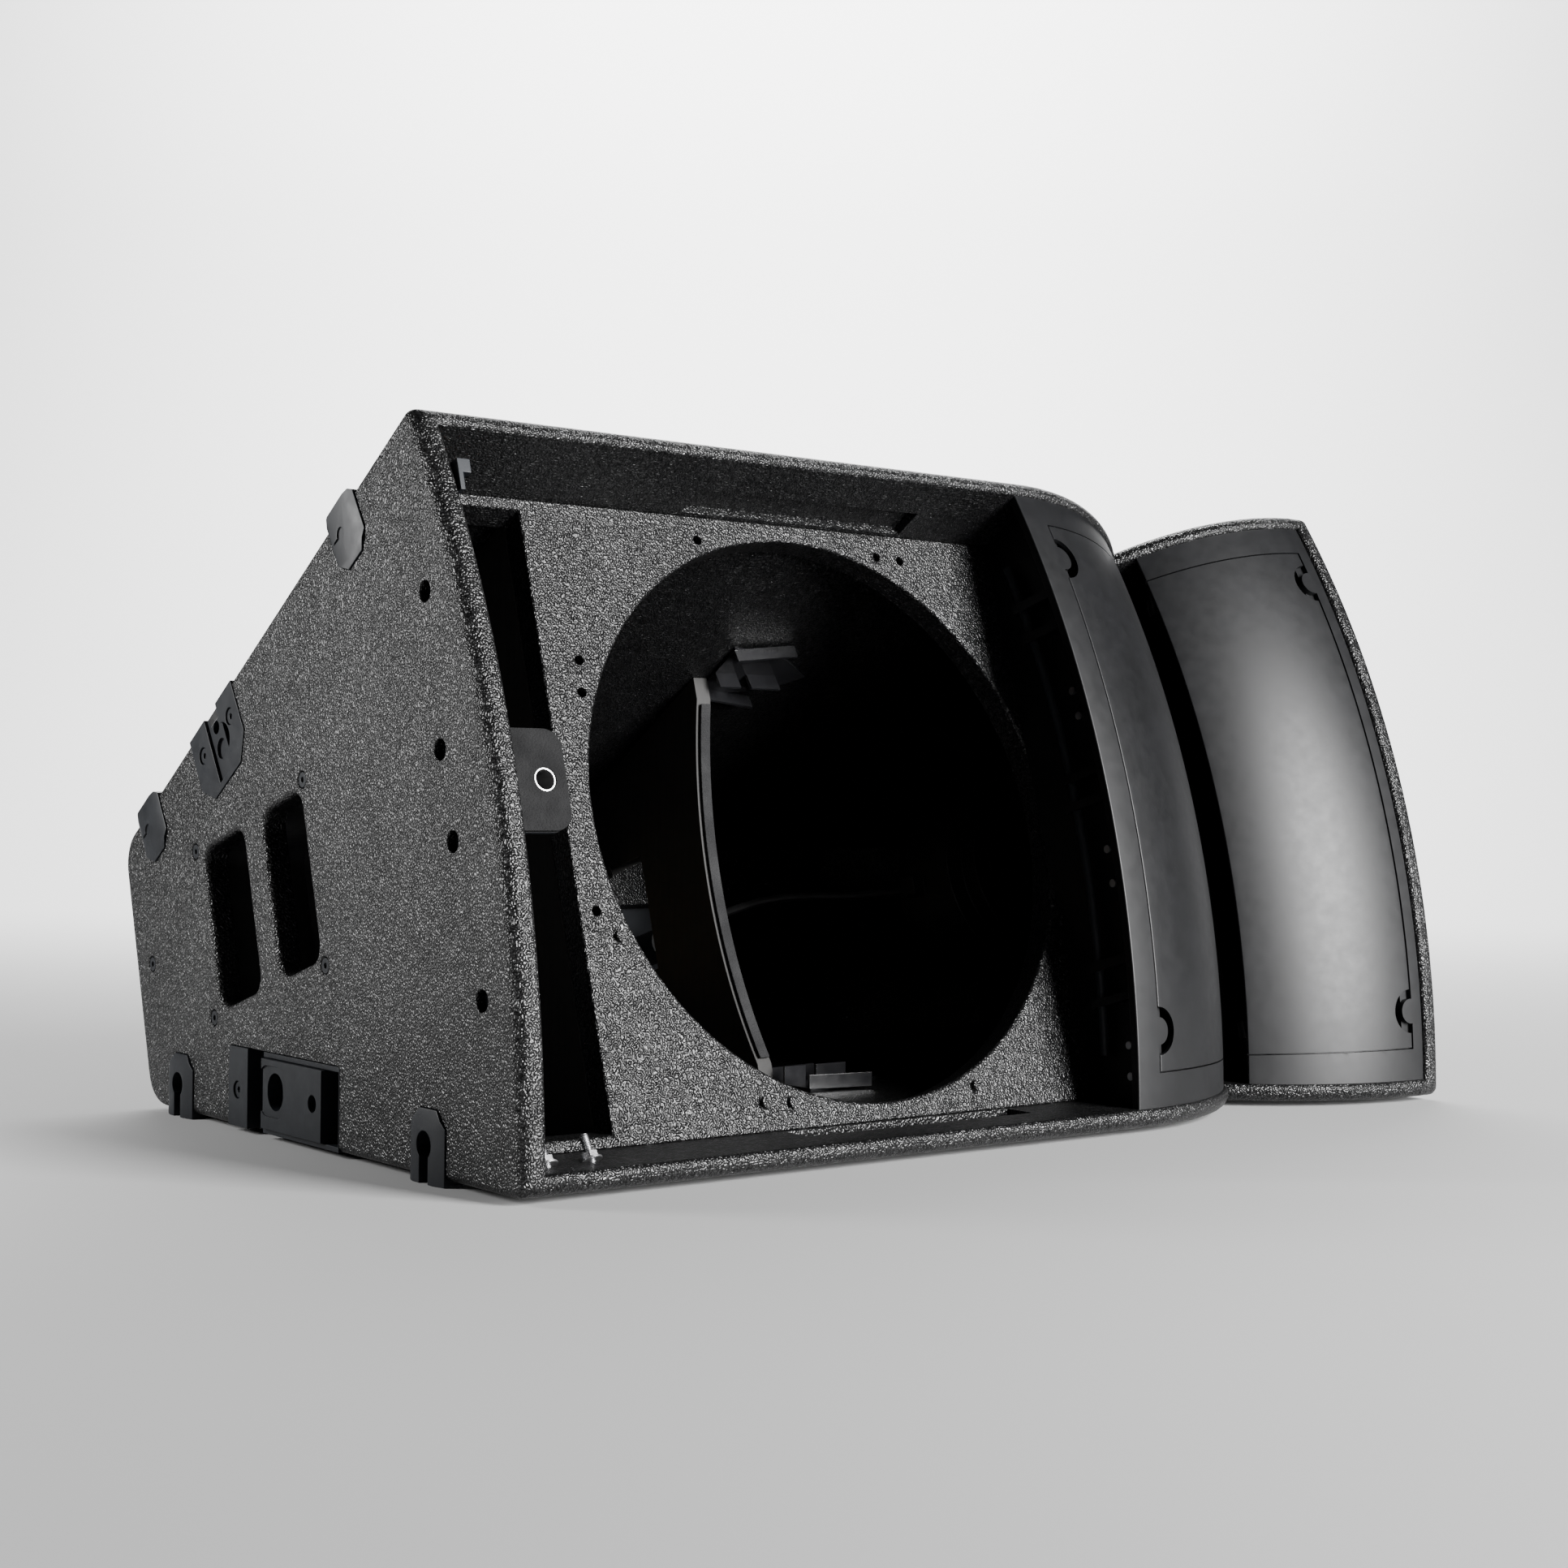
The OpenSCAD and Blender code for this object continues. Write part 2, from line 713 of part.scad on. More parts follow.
stud_at = [[30, 20, 19], [58, 21, 15]];
module stud_frame(p) {
    translate([p[0], p[1], inner_height(p[1])]) rotate([-half_wedge, 0, 0]) children();
}

module stud_holes() {
    for (p = stud_at) stud_frame(p) translate([0, 0, -1]) cylinder(r = 2.5, h = 9, $fn = 32);
}

module port_studs() {
    color(steel) standing() mirror([0, 0, 1]) for (p = stud_at) stud_frame(p) {
        translate([0, 0, -p[2]]) cylinder(r = 2.5, h = p[2] + 7, $fn = 32);
        translate([0, 0, -1.2]) cylinder(r = 6, h = 1.2, $fn = 32);
        translate([0, 0, -4.7]) cylinder(r = 4.4, h = 3.5, $fn = 6);
    }
}

// ---- Horn ----

module inside_cabinet(y0, y1) {
    intersection() {
        children();
        across(side_t, body_w - side_t) inner_outline(y0, y1);
    }
}

module hinge_line(side, r, z0, z1) {
    translate([horn_x + side * pin_dx, pin_y, z0]) cylinder(r = r, h = z1 - z0, $fn = 32);
}

// Everything behind a flare's front surface, as deep as the lugs need
module behind_flare(side, off) {
    swept(-half_wedge, half_wedge) difference() {
        flare_strip(side, flare_half, throat_half, -22, off);
        translate([0, horn_x - throat_half]) square([2 * big, 2 * throat_half]);
    }
}

// A round spot on a fin's outer edge, bored along the radius from the apex
notch_a = fin_angle - 1.9;
notch_r = 15;
tongue_r = 8.5;
module finger_spot(side, r, a) {
    translate([horn_x + side * fin_half, apex_y, 0]) rotate([a, 0, 0])
        translate([0, -flare_c - flare_r - 20, 0]) rotate([-90, 0, 0]) cylinder(r = r, h = 40, $fn = 48);
}

// Fixed surround of a fin: a shell with a pocket that the fin lies in and a window behind it
module horn_frame(side, outer) {
    edge_a = fin_angle + fin_gap / front_r * 180 / PI;
    window_a = fin_angle - 0.5;
    difference() {
        inside_cabinet(-60, 160) swept(-half_wedge, half_wedge)
            flare_strip(side, outer, throat_half, -frame_t, 0);
        difference() {
            union() {
                swept(-edge_a, edge_a)
                    flare_strip(side, fin_half + fin_gap, throat_half - 1, -flare_t - 0.8, 1);
                swept(-window_a, window_a)
                    flare_strip(side, fin_half - rebate, throat_half - 1, -frame_t - 1, 0);
            }
            for (s = [-1, 1]) finger_spot(side, tongue_r, s * notch_a);
        }
    }
}

// Lugs that hold the hinge pins, behind the surround above and below each fin
module pin_lugs() {
    color(satin) standing() for (side = [-1, 1]) top_and_bottom() difference() {
        intersection() {
            swept(-half_wedge, half_wedge) flare_strip(side, 60, throat_half, -22, -frame_t - 0.03);
            block([horn_x + side * pin_dx - 7, pin_y - 20, lug_z[0]],
                [horn_x + side * pin_dx + 7, pin_y + 6, lug_z[1]]);
        }
        hinge_line(side, pin_r, lug_z[0] - 1, lug_z[1] - 3);
    }
}

module horn_frame_left() {
    color(satin) standing() horn_frame(-1, frame_half_left);
}

module horn_frame_right() {
    color(satin) standing() horn_frame(1, frame_half_right);
}

// Curved fin with two bored lugs behind its throat edge and finger notches at its outer edge
module fin(side) {
    difference() {
        union() {
            swept(-fin_angle, fin_angle) flare_strip(side, fin_half, throat_half, -flare_t, 0);
            intersection() {
                behind_flare(side, -0.5);
                top_and_bottom() union() {
                    hinge_line(side, 5, hinge_z[0], hinge_z[1]);
                    block([horn_x + side * pin_dx - 4, pin_y - 27, hinge_z[0]],
                        [horn_x + side * pin_dx + 4, pin_y, hinge_z[1]]);
                }
                swept(-fin_angle, fin_angle) translate([500, 0]) square([500, 2 * big]);
            }
        }
        for (s = [-1, 1]) finger_spot(side, notch_r, s * notch_a);
        top_and_bottom() hinge_line(side, pin_r + pin_clear, hinge_z[0] - 1, hinge_z[1] + 1);
    }
}

module fin_left() {
    color(satin) standing() fin(-1);
}

module fin_right() {
    color(satin) standing() fin(1);
}

module fin_pins() {
    color(steel) standing() for (side = [-1, 1]) top_and_bottom()
        hinge_line(side, pin_r, hinge_z[0] + 1, lug_z[1] - 3);
}

// Wall from the baffle forward to the back of the left flare, and the small screws in it
wall_x = [460, 470];
wall_front_r = 746.7;
wall_screw_at = [[-2.5, 68], [-3.7, 51], [-4.8, -38], [-3.7, -60], [10.4, -161], [14.3, -180]];
module horn_wall() {
    color(satin) standing() difference() {
        across(wall_x[0], wall_x[1]) intersection() {
            inner_outline(-60, baffle_y);
            translate([apex_y, 0]) circle(r = wall_front_r, $fn = smooth);
        }
        for (p = wall_screw_at) rod_x(1.2, wall_x[0] - 1, wall_x[0] + 7, p[0], p[1]);
    }
}

module wall_screws() {
    color(steel) standing() for (p = wall_screw_at) {
        rod_x(2.6, wall_x[0] - 1.6, wall_x[0], p[0], p[1]);
        rod_x(1.2, wall_x[0], wall_x[0] + 6, p[0], p[1]);
    }
}

// Curved rail beside that wall, held by clips
rail_x = 455;
rail_r = 716;
clip_z = [[108, 114], [130, 136], [-9, -4], [9, 14], [-112, -106], [-134, -129]];
module flange_rail() {
    color(metal) standing() swept(-13.2, 13.2) translate([rail_r, rail_x]) circle(r = 3, $fn = 32);
}

module rail_clips() {
    color(satin) standing() for (z = clip_z) intersection() {
        swept(-half_wedge, half_wedge) difference() {
            translate([rail_r - 5, rail_x - 5]) square([flare_c + flare_r - 6.4 - rail_r + 5, 10]);
            translate([rail_r, rail_x]) circle(r = 3, $fn = 32);
        }
        block([0, -100, z[0]], [body_w, 200, z[1]]);
    }
}

// Waveguide: slotted front flange, fan-shaped duct, round entry for the driver
guide_r = 652;
guide_half = 30;
guide_end_y = 192;
slot_half = 6;
module waveguide() {
    duct_a = 13;
    color(satin) standing() difference() {
        union() {
            inside_cabinet(0, 160) swept(-half_wedge, half_wedge) {
                translate([guide_r - 4, horn_x - guide_half - 8]) square([4, 2 * guide_half + 16]);
                for (x = [horn_x - throat_half - 5, horn_x + throat_half + 1])
                    translate([guide_r - 1, x]) square([31, 4]);
            }
            across(horn_x - guide_half, horn_x + guide_half)
                fan_outline(guide_r - 3, duct_a + 1.4, 46, guide_end_y);
            rod_y(52, guide_end_y - 8, guide_end_y, horn_x, 0);
        }
        across(horn_x - slot_half, horn_x + slot_half)
            fan_outline(guide_r + 2, duct_a, 18, guide_end_y - 20);
        rod_y(18, guide_end_y - 30, guide_end_y + 1, horn_x, 0);
    }
}

// Fan from an arc about the apex back to a flat end of the given half height
module fan_outline(r, a, end_half, end_y) {
    arc = [for (i = [0:arc_steps]) let (t = -a + 2 * a * i / arc_steps)
        [apex_y - r * cos(t), r * sin(t)]];
    polygon(concat(arc, [[end_y, end_half], [end_y, -end_half]]));
}

module throat_screws() {
    color(steel) standing() for (s = [-1, 1])
        translate([horn_x, apex_y, 0]) rotate([s * 14.6, 0, 0]) translate([0, -guide_r, 0])
            rotate([90, 0, 0]) difference() {
                cylinder(r = 3.4, h = 2.4, $fn = 32);
                translate([0, 0, 1.2]) cylinder(r = 1.5, h = 2, $fn = 6);
            }
}

driver_r = 74;
lead_x = 512.5;
lead_y = 248;
module compression_driver() {
    color(satin) standing() difference() {
        union() {
            rod_y(driver_r - 14, guide_end_y, guide_end_y + 14, horn_x, 0);
            rod_y(driver_r, guide_end_y + 14, guide_end_y + 62, horn_x, 0);
            rod_y(driver_r - 12, guide_end_y + 62, guide_end_y + 84, horn_x, 0);
            block([lead_x - 5, lead_y - 14, -7], [horn_x - driver_r + 4, lead_y, 7]);
        }
        rod_y(18, guide_end_y - 1, guide_end_y + 12, horn_x, 0);
    }
}

module driver_bolts() {
    color(steel) standing() for (i = [0:3]) let (a = 45 + 90 * i)
        rod_y(4, guide_end_y + 84, guide_end_y + 88, horn_x + 50 * cos(a), 50 * sin(a));
}

// ---- Electronics ----

board = [[130, 406, -34], [300, 408, 30]];
module crossover_board() {
    color([0.12, 0.25, 0.14]) standing() {
        block(board[0], board[1]);
        for (x = [board[0][0] + 6, board[1][0] - 6], z = [board[0][2] + 6, board[1][2] - 6])
            rod_y(3, board[1][1], rear_inner_y, x, z);
    }
}

module crossover_parts() {
    y = board[0][1];
    color([0.45, 0.28, 0.12]) standing() {
        for (x = [158, 214]) difference() {
            rod_y(21, y - 20, y, x, -8);
            rod_y(10, y - 21, y - 2, x, -8);
        }
        for (x = [250, 266, 282]) rod_y(6.5, y - 26, y, x, -22);
        for (x = [252, 278]) block([x, y - 9, 2], [x + 12, y, 26]);
    }
}

module plate_screw_places() {
    for (x = [-1, 1], z = [-1, 1])
        translate([plate_x + x * (plate_w / 2 - 6), 0, z * (plate_h / 2 - 6)]) children();
}

module connector_plate() {
    color(metal) standing() difference() {
        block([plate_x - plate_w / 2, body_d - plate_t + 0.8, -plate_h / 2],
            [plate_x + plate_w / 2, body_d + 0.4, plate_h / 2]);
        for (s = [-1, 1]) rod_y(12.5, body_d - 10, body_d + 5, plate_x + s * socket_dx, 0);
        plate_screw_places() rod_y(1.7, body_d - 10, body_d + 5, 0, 0);
        for (s = [-1, 1]) translate([plate_x + s * socket_dx, body_d + 2, 0]) rotate([90, 0, 0])
            linear_extrude(2.6) soft_rect([-15, -18], [15, 18], 3);
    }
}

module sockets() {
    color(satin) standing() for (s = [-1, 1]) translate([plate_x + s * socket_dx, 0, 0]) difference() {
        union() {
            rod_y(12.4, body_d - 34, body_d - 0.5, 0, 0);
            translate([0, body_d + 0.3, 0]) rotate([90, 0, 0])
                linear_extrude(0.9) soft_rect([-14.8, -17.8], [14.8, 17.8], 3);
        }
        rod_y(9.5, body_d - 20, body_d + 2, 0, 0);
        for (x = [-11.5, 11.5]) rod_y(1.4, body_d - 3, body_d + 2, x, x > 0 ? 14 : -14);
    }
}

module plate_gasket() {
    color(foam) standing() difference() {
        block([plate_x - plate_w / 2, body_d - plate_t, -plate_h / 2],
            [plate_x + plate_w / 2, body_d - plate_t + 0.8, plate_h / 2]);
        block([plate_x - plate_w / 2 + 14, body_d - 10, -plate_h / 2 + 14],
            [plate_x + plate_w / 2 - 14, body_d + 2, plate_h / 2 - 14]);
        plate_screw_places() rod_y(1.7, body_d - 10, body_d + 5, 0, 0);
    }
}

module plate_screws() {
    color(steel) standing() plate_screw_places() {
        rod_y(3.2, body_d + 0.4, body_d + 1.8, 0, 0);
        rod_y(1.5, body_d - 14, body_d + 0.4, 0, 0);
    }
}

// Lead inside the cabinet, from the sockets to the compression driver: a swept tube
lead_r = 3.2;
lead_sides = 10;
lead_route = [[402, 402, 0], [402, 392, 0], [404, 380, 1], [409, 367, 4], [418, 354, 8],
    [430, 342, 11], [443, 331, 13], [457, 320, 13], [471, 309, 11], [484, 298, 8], [495, 287, 5],
    [503, 274, 3], [508.5, 262, 1], [512, 255, 0], [512.5, 248.1, 0]];
function unit(v) = v / norm(v);
function route_dir(i) = unit(lead_route[min(i + 1, len(lead_route) - 1)] - lead_route[max(i - 1, 0)]);
module driver_lead() {
    n = len(lead_route);
    rings = [for (i = [0:n - 1]) let (d = route_dir(i), u = unit(cross(d, [0, 0, 1])), v = cross(u, d))
        for (k = [0:lead_sides - 1]) let (a = 360 * k / lead_sides)
            lead_route[i] + lead_r * (cos(a) * u + sin(a) * v)];
    walls = [for (i = [0:n - 2], k = [0:lead_sides - 1]) let (m = (k + 1) % lead_sides)
        [i * lead_sides + k, (i + 1) * lead_sides + k, (i + 1) * lead_sides + m, i * lead_sides + m]];
    first = [for (k = [0:lead_sides - 1]) k];
    last = [for (k = [lead_sides - 1:-1:0]) (n - 1) * lead_sides + k];
    color([0.05, 0.05, 0.05]) standing() polyhedron(rings, concat([first], walls, [last]));
}

top_panel();
bottom_panel();
side_panel_left();
side_panel_right();
rear_panel();
baffle();
port_wall();
bay_divider();
edge_strip();
shelf_braces();
divider_brackets();
handle_cup_left();
handle_cup_right();
cup_screws();
feet_upper();
feet_lower();
rig_plate_left();
rig_plate_right();
link_left();
link_right();
rig_frame_left();
rig_frame_right();
latch_left();
latch_right();
rig_screws();
grille_bracket();
bracket_pad();
bracket_insert();
lip_hook();
side_screws();
port_studs();
horn_frame_left();
horn_frame_right();
pin_lugs();
fin_left();
fin_right();
fin_pins();
horn_wall();
wall_screws();
flange_rail();
rail_clips();
waveguide();
throat_screws();
compression_driver();
driver_bolts();
crossover_board();
crossover_parts();
connector_plate();
sockets();
plate_gasket();
plate_screws();
driver_lead();
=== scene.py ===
"""Looks for the line array loudspeaker: textured cabinet, woofer bay, horn, fins, rigging."""
import math

import bmesh
import bpy
from mathutils import Matrix, Vector


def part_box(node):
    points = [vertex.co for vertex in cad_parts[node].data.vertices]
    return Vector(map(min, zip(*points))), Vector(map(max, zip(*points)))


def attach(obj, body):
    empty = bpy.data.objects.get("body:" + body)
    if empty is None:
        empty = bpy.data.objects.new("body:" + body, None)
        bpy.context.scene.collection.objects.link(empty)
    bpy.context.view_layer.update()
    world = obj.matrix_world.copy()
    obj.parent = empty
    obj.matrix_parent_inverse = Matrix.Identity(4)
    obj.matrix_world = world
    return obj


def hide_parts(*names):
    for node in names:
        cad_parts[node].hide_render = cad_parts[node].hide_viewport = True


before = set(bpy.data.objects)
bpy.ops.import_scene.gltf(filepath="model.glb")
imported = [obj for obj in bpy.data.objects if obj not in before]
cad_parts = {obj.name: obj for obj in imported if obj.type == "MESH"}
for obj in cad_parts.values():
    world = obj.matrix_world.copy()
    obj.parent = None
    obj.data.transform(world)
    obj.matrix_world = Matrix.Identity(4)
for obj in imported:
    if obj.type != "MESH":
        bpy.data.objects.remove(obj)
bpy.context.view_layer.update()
scene = bpy.context.scene

# ---- Driving dimensions, in mm, in the cabinet's own frame ----
# x from the left face, y back from the front corners, z up from mid height.

MM = 1000  # in a metre
ALPHA = math.radians(16.5)
CA, SA = math.cos(ALPHA), math.sin(ALPHA)
W, H, D = 744.0, 430.0, 436.0
APEX = H / 2 / math.tan(ALPHA)
R = APEX / CA
CORNER_R = 25.0
SIDE_T, PANEL_T, REAR_T = 15.0, 12.0, 15.0
EDGE_R, SIDE_EDGE_R, LIP_R = 8.0, 4.5, 3.5
CLEAR = 3.0  # how far a cutter passes the surface it cuts
REAR_IN = D - REAR_T
CORNER_Y = D - CORNER_R
CORNER_Z = (APEX - CORNER_Y) * math.tan(ALPHA) - CORNER_R / CA

BAFFLE_Y, BAFFLE_T, BAFFLE_X = 49.3, 18.0, 92.5
WOOFER_X, WOOFER_R = 289.0, 176.5
HORN_X, FLARE_HALF, FLARE_DEPTH, FLARE_STEP = 591.5, 140.0, 62.0, 3.0
FLARE_R = (FLARE_HALF ** 2 + FLARE_DEPTH ** 2) / (2 * FLARE_DEPTH)
FLARE_C = R - FLARE_STEP - FLARE_R
THROAT_HALF, FIN_HALF, FIN_T, FRAME_T = 12.5, 126.0, 3.0, 6.3
FIN_A = math.radians(13.9)
FRAME_HALF = {-1: 146.5, 1: W - SIDE_T - HORN_X - 0.3}  # towards the left, the right
NOTCH_R, TONGUE_R = 15.0, 8.5
NOTCH_A = FIN_A - math.radians(1.9)

side_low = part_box("side_panel_left")[0]
X0 = side_low[0] * MM
SY = side_low[1] * MM - (APEX * CA - R)
SZ = side_low[2] * MM + APEX * SA


def row(p):
    """A point of the cabinet frame as a point of the row frame, in metres."""
    x, y, z = p
    return Vector(((X0 + x) / MM, (y * CA + z * SA + SY) / MM, (-y * SA + z * CA + SZ) / MM))


def polar(r, a, x):
    """The point at distance r from the apex line, angle a above the middle."""
    return (x, APEX - r * math.cos(a), r * math.sin(a))


def edge_pt(length, depth, x, up=1):
    """The point at a distance from the apex along the top edge, and a depth under it."""
    return (x, APEX - length * CA - depth * SA, up * (length * SA - depth * CA))


def inner_height(y):
    """The height over the middle of the top panel's inner face."""
    return (APEX - y) * math.tan(ALPHA) - PANEL_T / CA


def flip(pts):
    """Points mirrored to the cabinet's other side."""
    return [(W - p[0], p[1], p[2]) for p in pts]


# ---- Materials ----

def nodes_of(name):
    """A new material, its node tree and its shader."""
    mat = bpy.data.materials.new(name)
    mat.use_nodes = True
    tree = mat.node_tree
    return mat, tree, tree.nodes["Principled BSDF"]


def add(tree, kind, **values):
    """A new node with settings, or input values, given by name."""
    node = tree.nodes.new(kind)
    for key, value in values.items():
        if hasattr(node, key):
            setattr(node, key, value)
        else:
            node.inputs[key.replace("_", " ")].default_value = value
    return node


def noise(tree, coords, scale, detail=2.0, roughness=0.5):
    """A noise value, its scale per m."""
    node = add(tree, "ShaderNodeTexNoise", Scale=scale, Detail=detail, Roughness=roughness)
    tree.links.new(coords, node.inputs["Vector"])
    return node.outputs["Fac"]


def ramp(tree, value, low, high, a=0.0, b=1.0):
    """Maps value from the range a to b onto low to high, held at both ends."""
    node = add(tree, "ShaderNodeMapRange")
    for key, v in (("From Min", a), ("From Max", b), ("To Min", low), ("To Max", high)):
        node.inputs[key].default_value = v
    tree.links.new(value, node.inputs["Value"])
    return node.outputs["Result"]


def blend_colour(tree, value, dark, light):
    """A colour that goes from dark to light with value."""
    node = add(tree, "ShaderNodeMix", data_type="RGBA")
    node.inputs[6].default_value = (*dark, 1)
    node.inputs[7].default_value = (*light, 1)
    tree.links.new(value, node.inputs[0])
    return node.outputs[2]


def stack_bumps(tree, shader, layers):
    """Gives the shader bumps on bumps, from (value, height in m) pairs."""
    normal = None
    for value, height in layers:
        bump = add(tree, "ShaderNodeBump", Strength=1.0, Distance=height)
        tree.links.new(value, bump.inputs["Height"])
        if normal is not None:
            tree.links.new(normal, bump.inputs["Normal"])
        normal = bump.outputs["Normal"]
    tree.links.new(normal, shader.inputs["Normal"])


def pebbles(tree, coords, scale):
    """Rounded, wandering cells, high in their middles."""
    cells = add(tree, "ShaderNodeTexVoronoi", feature="SMOOTH_F1", Scale=scale, Smoothness=0.7)
    warp = add(tree, "ShaderNodeTexNoise", Scale=scale * 0.9, Detail=1.0)
    tree.links.new(coords, warp.inputs["Vector"])
    shift = add(tree, "ShaderNodeVectorMath", operation="MULTIPLY_ADD")
    tree.links.new(warp.outputs["Color"], shift.inputs[0])
    shift.inputs[1].default_value = (1.2 / scale,) * 3
    tree.links.new(coords, shift.inputs[2])
    tree.links.new(shift.outputs["Vector"], cells.inputs["Vector"])
    return ramp(tree, cells.outputs["Distance"], 1, 0, 0.0, 0.8)


def surface(name, dark, light, rough, bumps, metallic=0.0, spec=0.5):
    """A surface whose colour and roughness wander, with bumps (kind, scale per m, height in m)."""
    patch = 40.0  # per m
    mat, tree, shader = nodes_of(name)
    coords = add(tree, "ShaderNodeTexCoord").outputs["Object"]
    wander = noise(tree, coords, patch, 4.0)
    tree.links.new(blend_colour(tree, ramp(tree, wander, 0, 1, 0.35, 0.65), dark, light),
                   shader.inputs["Base Color"])
    tree.links.new(ramp(tree, noise(tree, coords, patch * 3, 3.0), rough[0], rough[1], 0.3, 0.7),
                   shader.inputs["Roughness"])
    shader.inputs["Metallic"].default_value = metallic
    shader.inputs["Specular IOR Level"].default_value = spec
    layers = []
    for kind, scale, height in bumps:
        if kind == "pebble":
            value = pebbles(tree, coords, scale)
        else:
            value = noise(tree, coords, scale, 3.0, 0.6)
        layers.append((value, height))
    stack_bumps(tree, shader, layers)
    return mat


def paint_material():
    """Sprayed cabinet paint: domed grains over a millimetre across, with painted shade in the
    creases between them.
    """
    grain_scale, wave_scale, patch_scale = 560, 210, 26  # per m
    dome_height, wave_height = 0.00045, 0.0003
    # The darker colour is painted shade in the creases between the grains; the crown colour is the
    # paint's own colour.
    crease_painted_shade, crown = (0.001, 0.001, 0.001), (0.0028, 0.0028, 0.003)
    mat, tree, shader = nodes_of("textured_paint")
    coords = add(tree, "ShaderNodeTexCoord").outputs["Object"]
    cells = add(tree, "ShaderNodeMath", operation="SUBTRACT")
    tree.links.new(noise(tree, coords, grain_scale, 0.6, 0.4), cells.inputs[0])
    cells.inputs[1].default_value = 0.5
    ridge = add(tree, "ShaderNodeMath", operation="ABSOLUTE")
    tree.links.new(cells.outputs["Value"], ridge.inputs[0])
    grain = ramp(tree, ridge.outputs["Value"], 0, 1, -0.012, 0.1)
    domes = ramp(tree, ridge.outputs["Value"], 0, 1, 0.0, 0.24)
    waves = noise(tree, coords, wave_scale, 2.0)
    wander = ramp(tree, noise(tree, coords, patch_scale, 4.0), 0.75, 1.0, 0.3, 0.7)
    # Painted shade: the grain mask darkens the colour in the creases, and through shine it lowers
    # their specular level.
    tree.links.new(blend_colour(tree, grain, crease_painted_shade, crown), shader.inputs["Base Color"])
    shine = add(tree, "ShaderNodeMath", operation="MULTIPLY")
    tree.links.new(ramp(tree, grain, 0.06, 0.6), shine.inputs[0])
    tree.links.new(wander, shine.inputs[1])
    tree.links.new(shine.outputs["Value"], shader.inputs["Specular IOR Level"])
    tree.links.new(ramp(tree, waves, 0.3, 0.42, 0.3, 0.7), shader.inputs["Roughness"])
    stack_bumps(tree, shader, ((waves, wave_height), (domes, dome_height)))
    return mat


def ply_material():
    """Dark stained plywood with its grain running up."""
    mat, tree, shader = nodes_of("stained_ply")
    dark, light = (0.004, 0.0038, 0.0035), (0.010, 0.009, 0.0082)
    coords = add(tree, "ShaderNodeTexCoord").outputs["Object"]
    stretch = add(tree, "ShaderNodeVectorMath", operation="MULTIPLY")
    stretch.inputs[1].default_value = (1.0, 1.0, 0.06)
    tree.links.new(coords, stretch.inputs[0])
    grain = noise(tree, stretch.outputs["Vector"], 260, 5.0, 0.65)
    tree.links.new(blend_colour(tree, ramp(tree, grain, 0, 1, 0.3, 0.7), dark, light),
                   shader.inputs["Base Color"])
    shader.inputs["Roughness"].default_value = 0.72
    bump = add(tree, "ShaderNodeBump", Strength=0.6, Distance=0.0003)
    tree.links.new(grain, bump.inputs["Height"])
    tree.links.new(bump.outputs["Normal"], shader.inputs["Normal"])
    return mat


def winding_material():
    """Enamelled copper wire wound in turns, with painted shade in the gaps between the turns."""
    mat, tree, shader = nodes_of("copper_winding")
    coords = add(tree, "ShaderNodeTexCoord").outputs["Object"]
    wave = add(tree, "ShaderNodeTexWave", wave_type="BANDS", bands_direction="Y", Scale=160.0,
               Distortion=0.6)
    tree.links.new(coords, wave.inputs["Vector"])
    # The darker colour is painted shade in the gaps between the turns; copper is the wire's own
    # colour.
    between, copper = (0.10, 0.03, 0.012), (0.42, 0.16, 0.06)
    tree.links.new(blend_colour(tree, wave.outputs["Fac"], between, copper),
                   shader.inputs["Base Color"])
    shader.inputs["Roughness"].default_value = 0.35
    shader.inputs["Metallic"].default_value = 0.7
    bump = add(tree, "ShaderNodeBump", Strength=0.7, Distance=0.0005)
    tree.links.new(wave.outputs["Fac"], bump.inputs["Height"])
    tree.links.new(bump.outputs["Normal"], shader.inputs["Normal"])
    return mat


PAINT = paint_material()
MOULDED = surface("satin_moulding", (0.0014, 0.0015, 0.0018), (0.0024, 0.0025, 0.003),
                  (0.42, 0.47), [("noise", 2600, 0.00002)], spec=0.3)
CUP = surface("cup_moulding", (0.02, 0.02, 0.021), (0.03, 0.03, 0.031), (0.5, 0.62),
              [("noise", 1500, 0.00008)], spec=0.45)
BLACK_STEEL = surface("black_steel", (0.006, 0.007, 0.009), (0.010, 0.0115, 0.014), (0.4, 0.5),
                      [("noise", 1400, 0.00003)], spec=0.22)
ZINC = surface("zinc_steel", (0.35, 0.35, 0.36), (0.5, 0.5, 0.5), (0.28, 0.42),
               [("noise", 900, 0.00005)], metallic=1.0)
CHROME = surface("bright_steel", (0.62, 0.62, 0.63), (0.72, 0.72, 0.72), (0.12, 0.22),
                 [("noise", 600, 0.00002)], metallic=1.0)
STRIP = surface("strip_foam", (0.012, 0.012, 0.0125), (0.02, 0.02, 0.0205), (0.8, 0.95),
                [("pebble", 900, 0.0004), ("noise", 2600, 0.0003)], spec=0.15)
FOAM = surface("soft_foam", (0.004, 0.004, 0.0042), (0.009, 0.009, 0.0093), (0.8, 0.95),
               [("pebble", 900, 0.0004), ("noise", 2600, 0.0003)], spec=0.15)
CASE = surface("driver_case", (0.006, 0.006, 0.007), (0.01, 0.01, 0.011), (0.45, 0.6),
               [("noise", 700, 0.0001)], spec=0.4)
GLOSS = surface("gloss_moulding", (0.006, 0.006, 0.0065), (0.009, 0.009, 0.01), (0.16, 0.26),
                [("noise", 900, 0.00003)], spec=0.6)
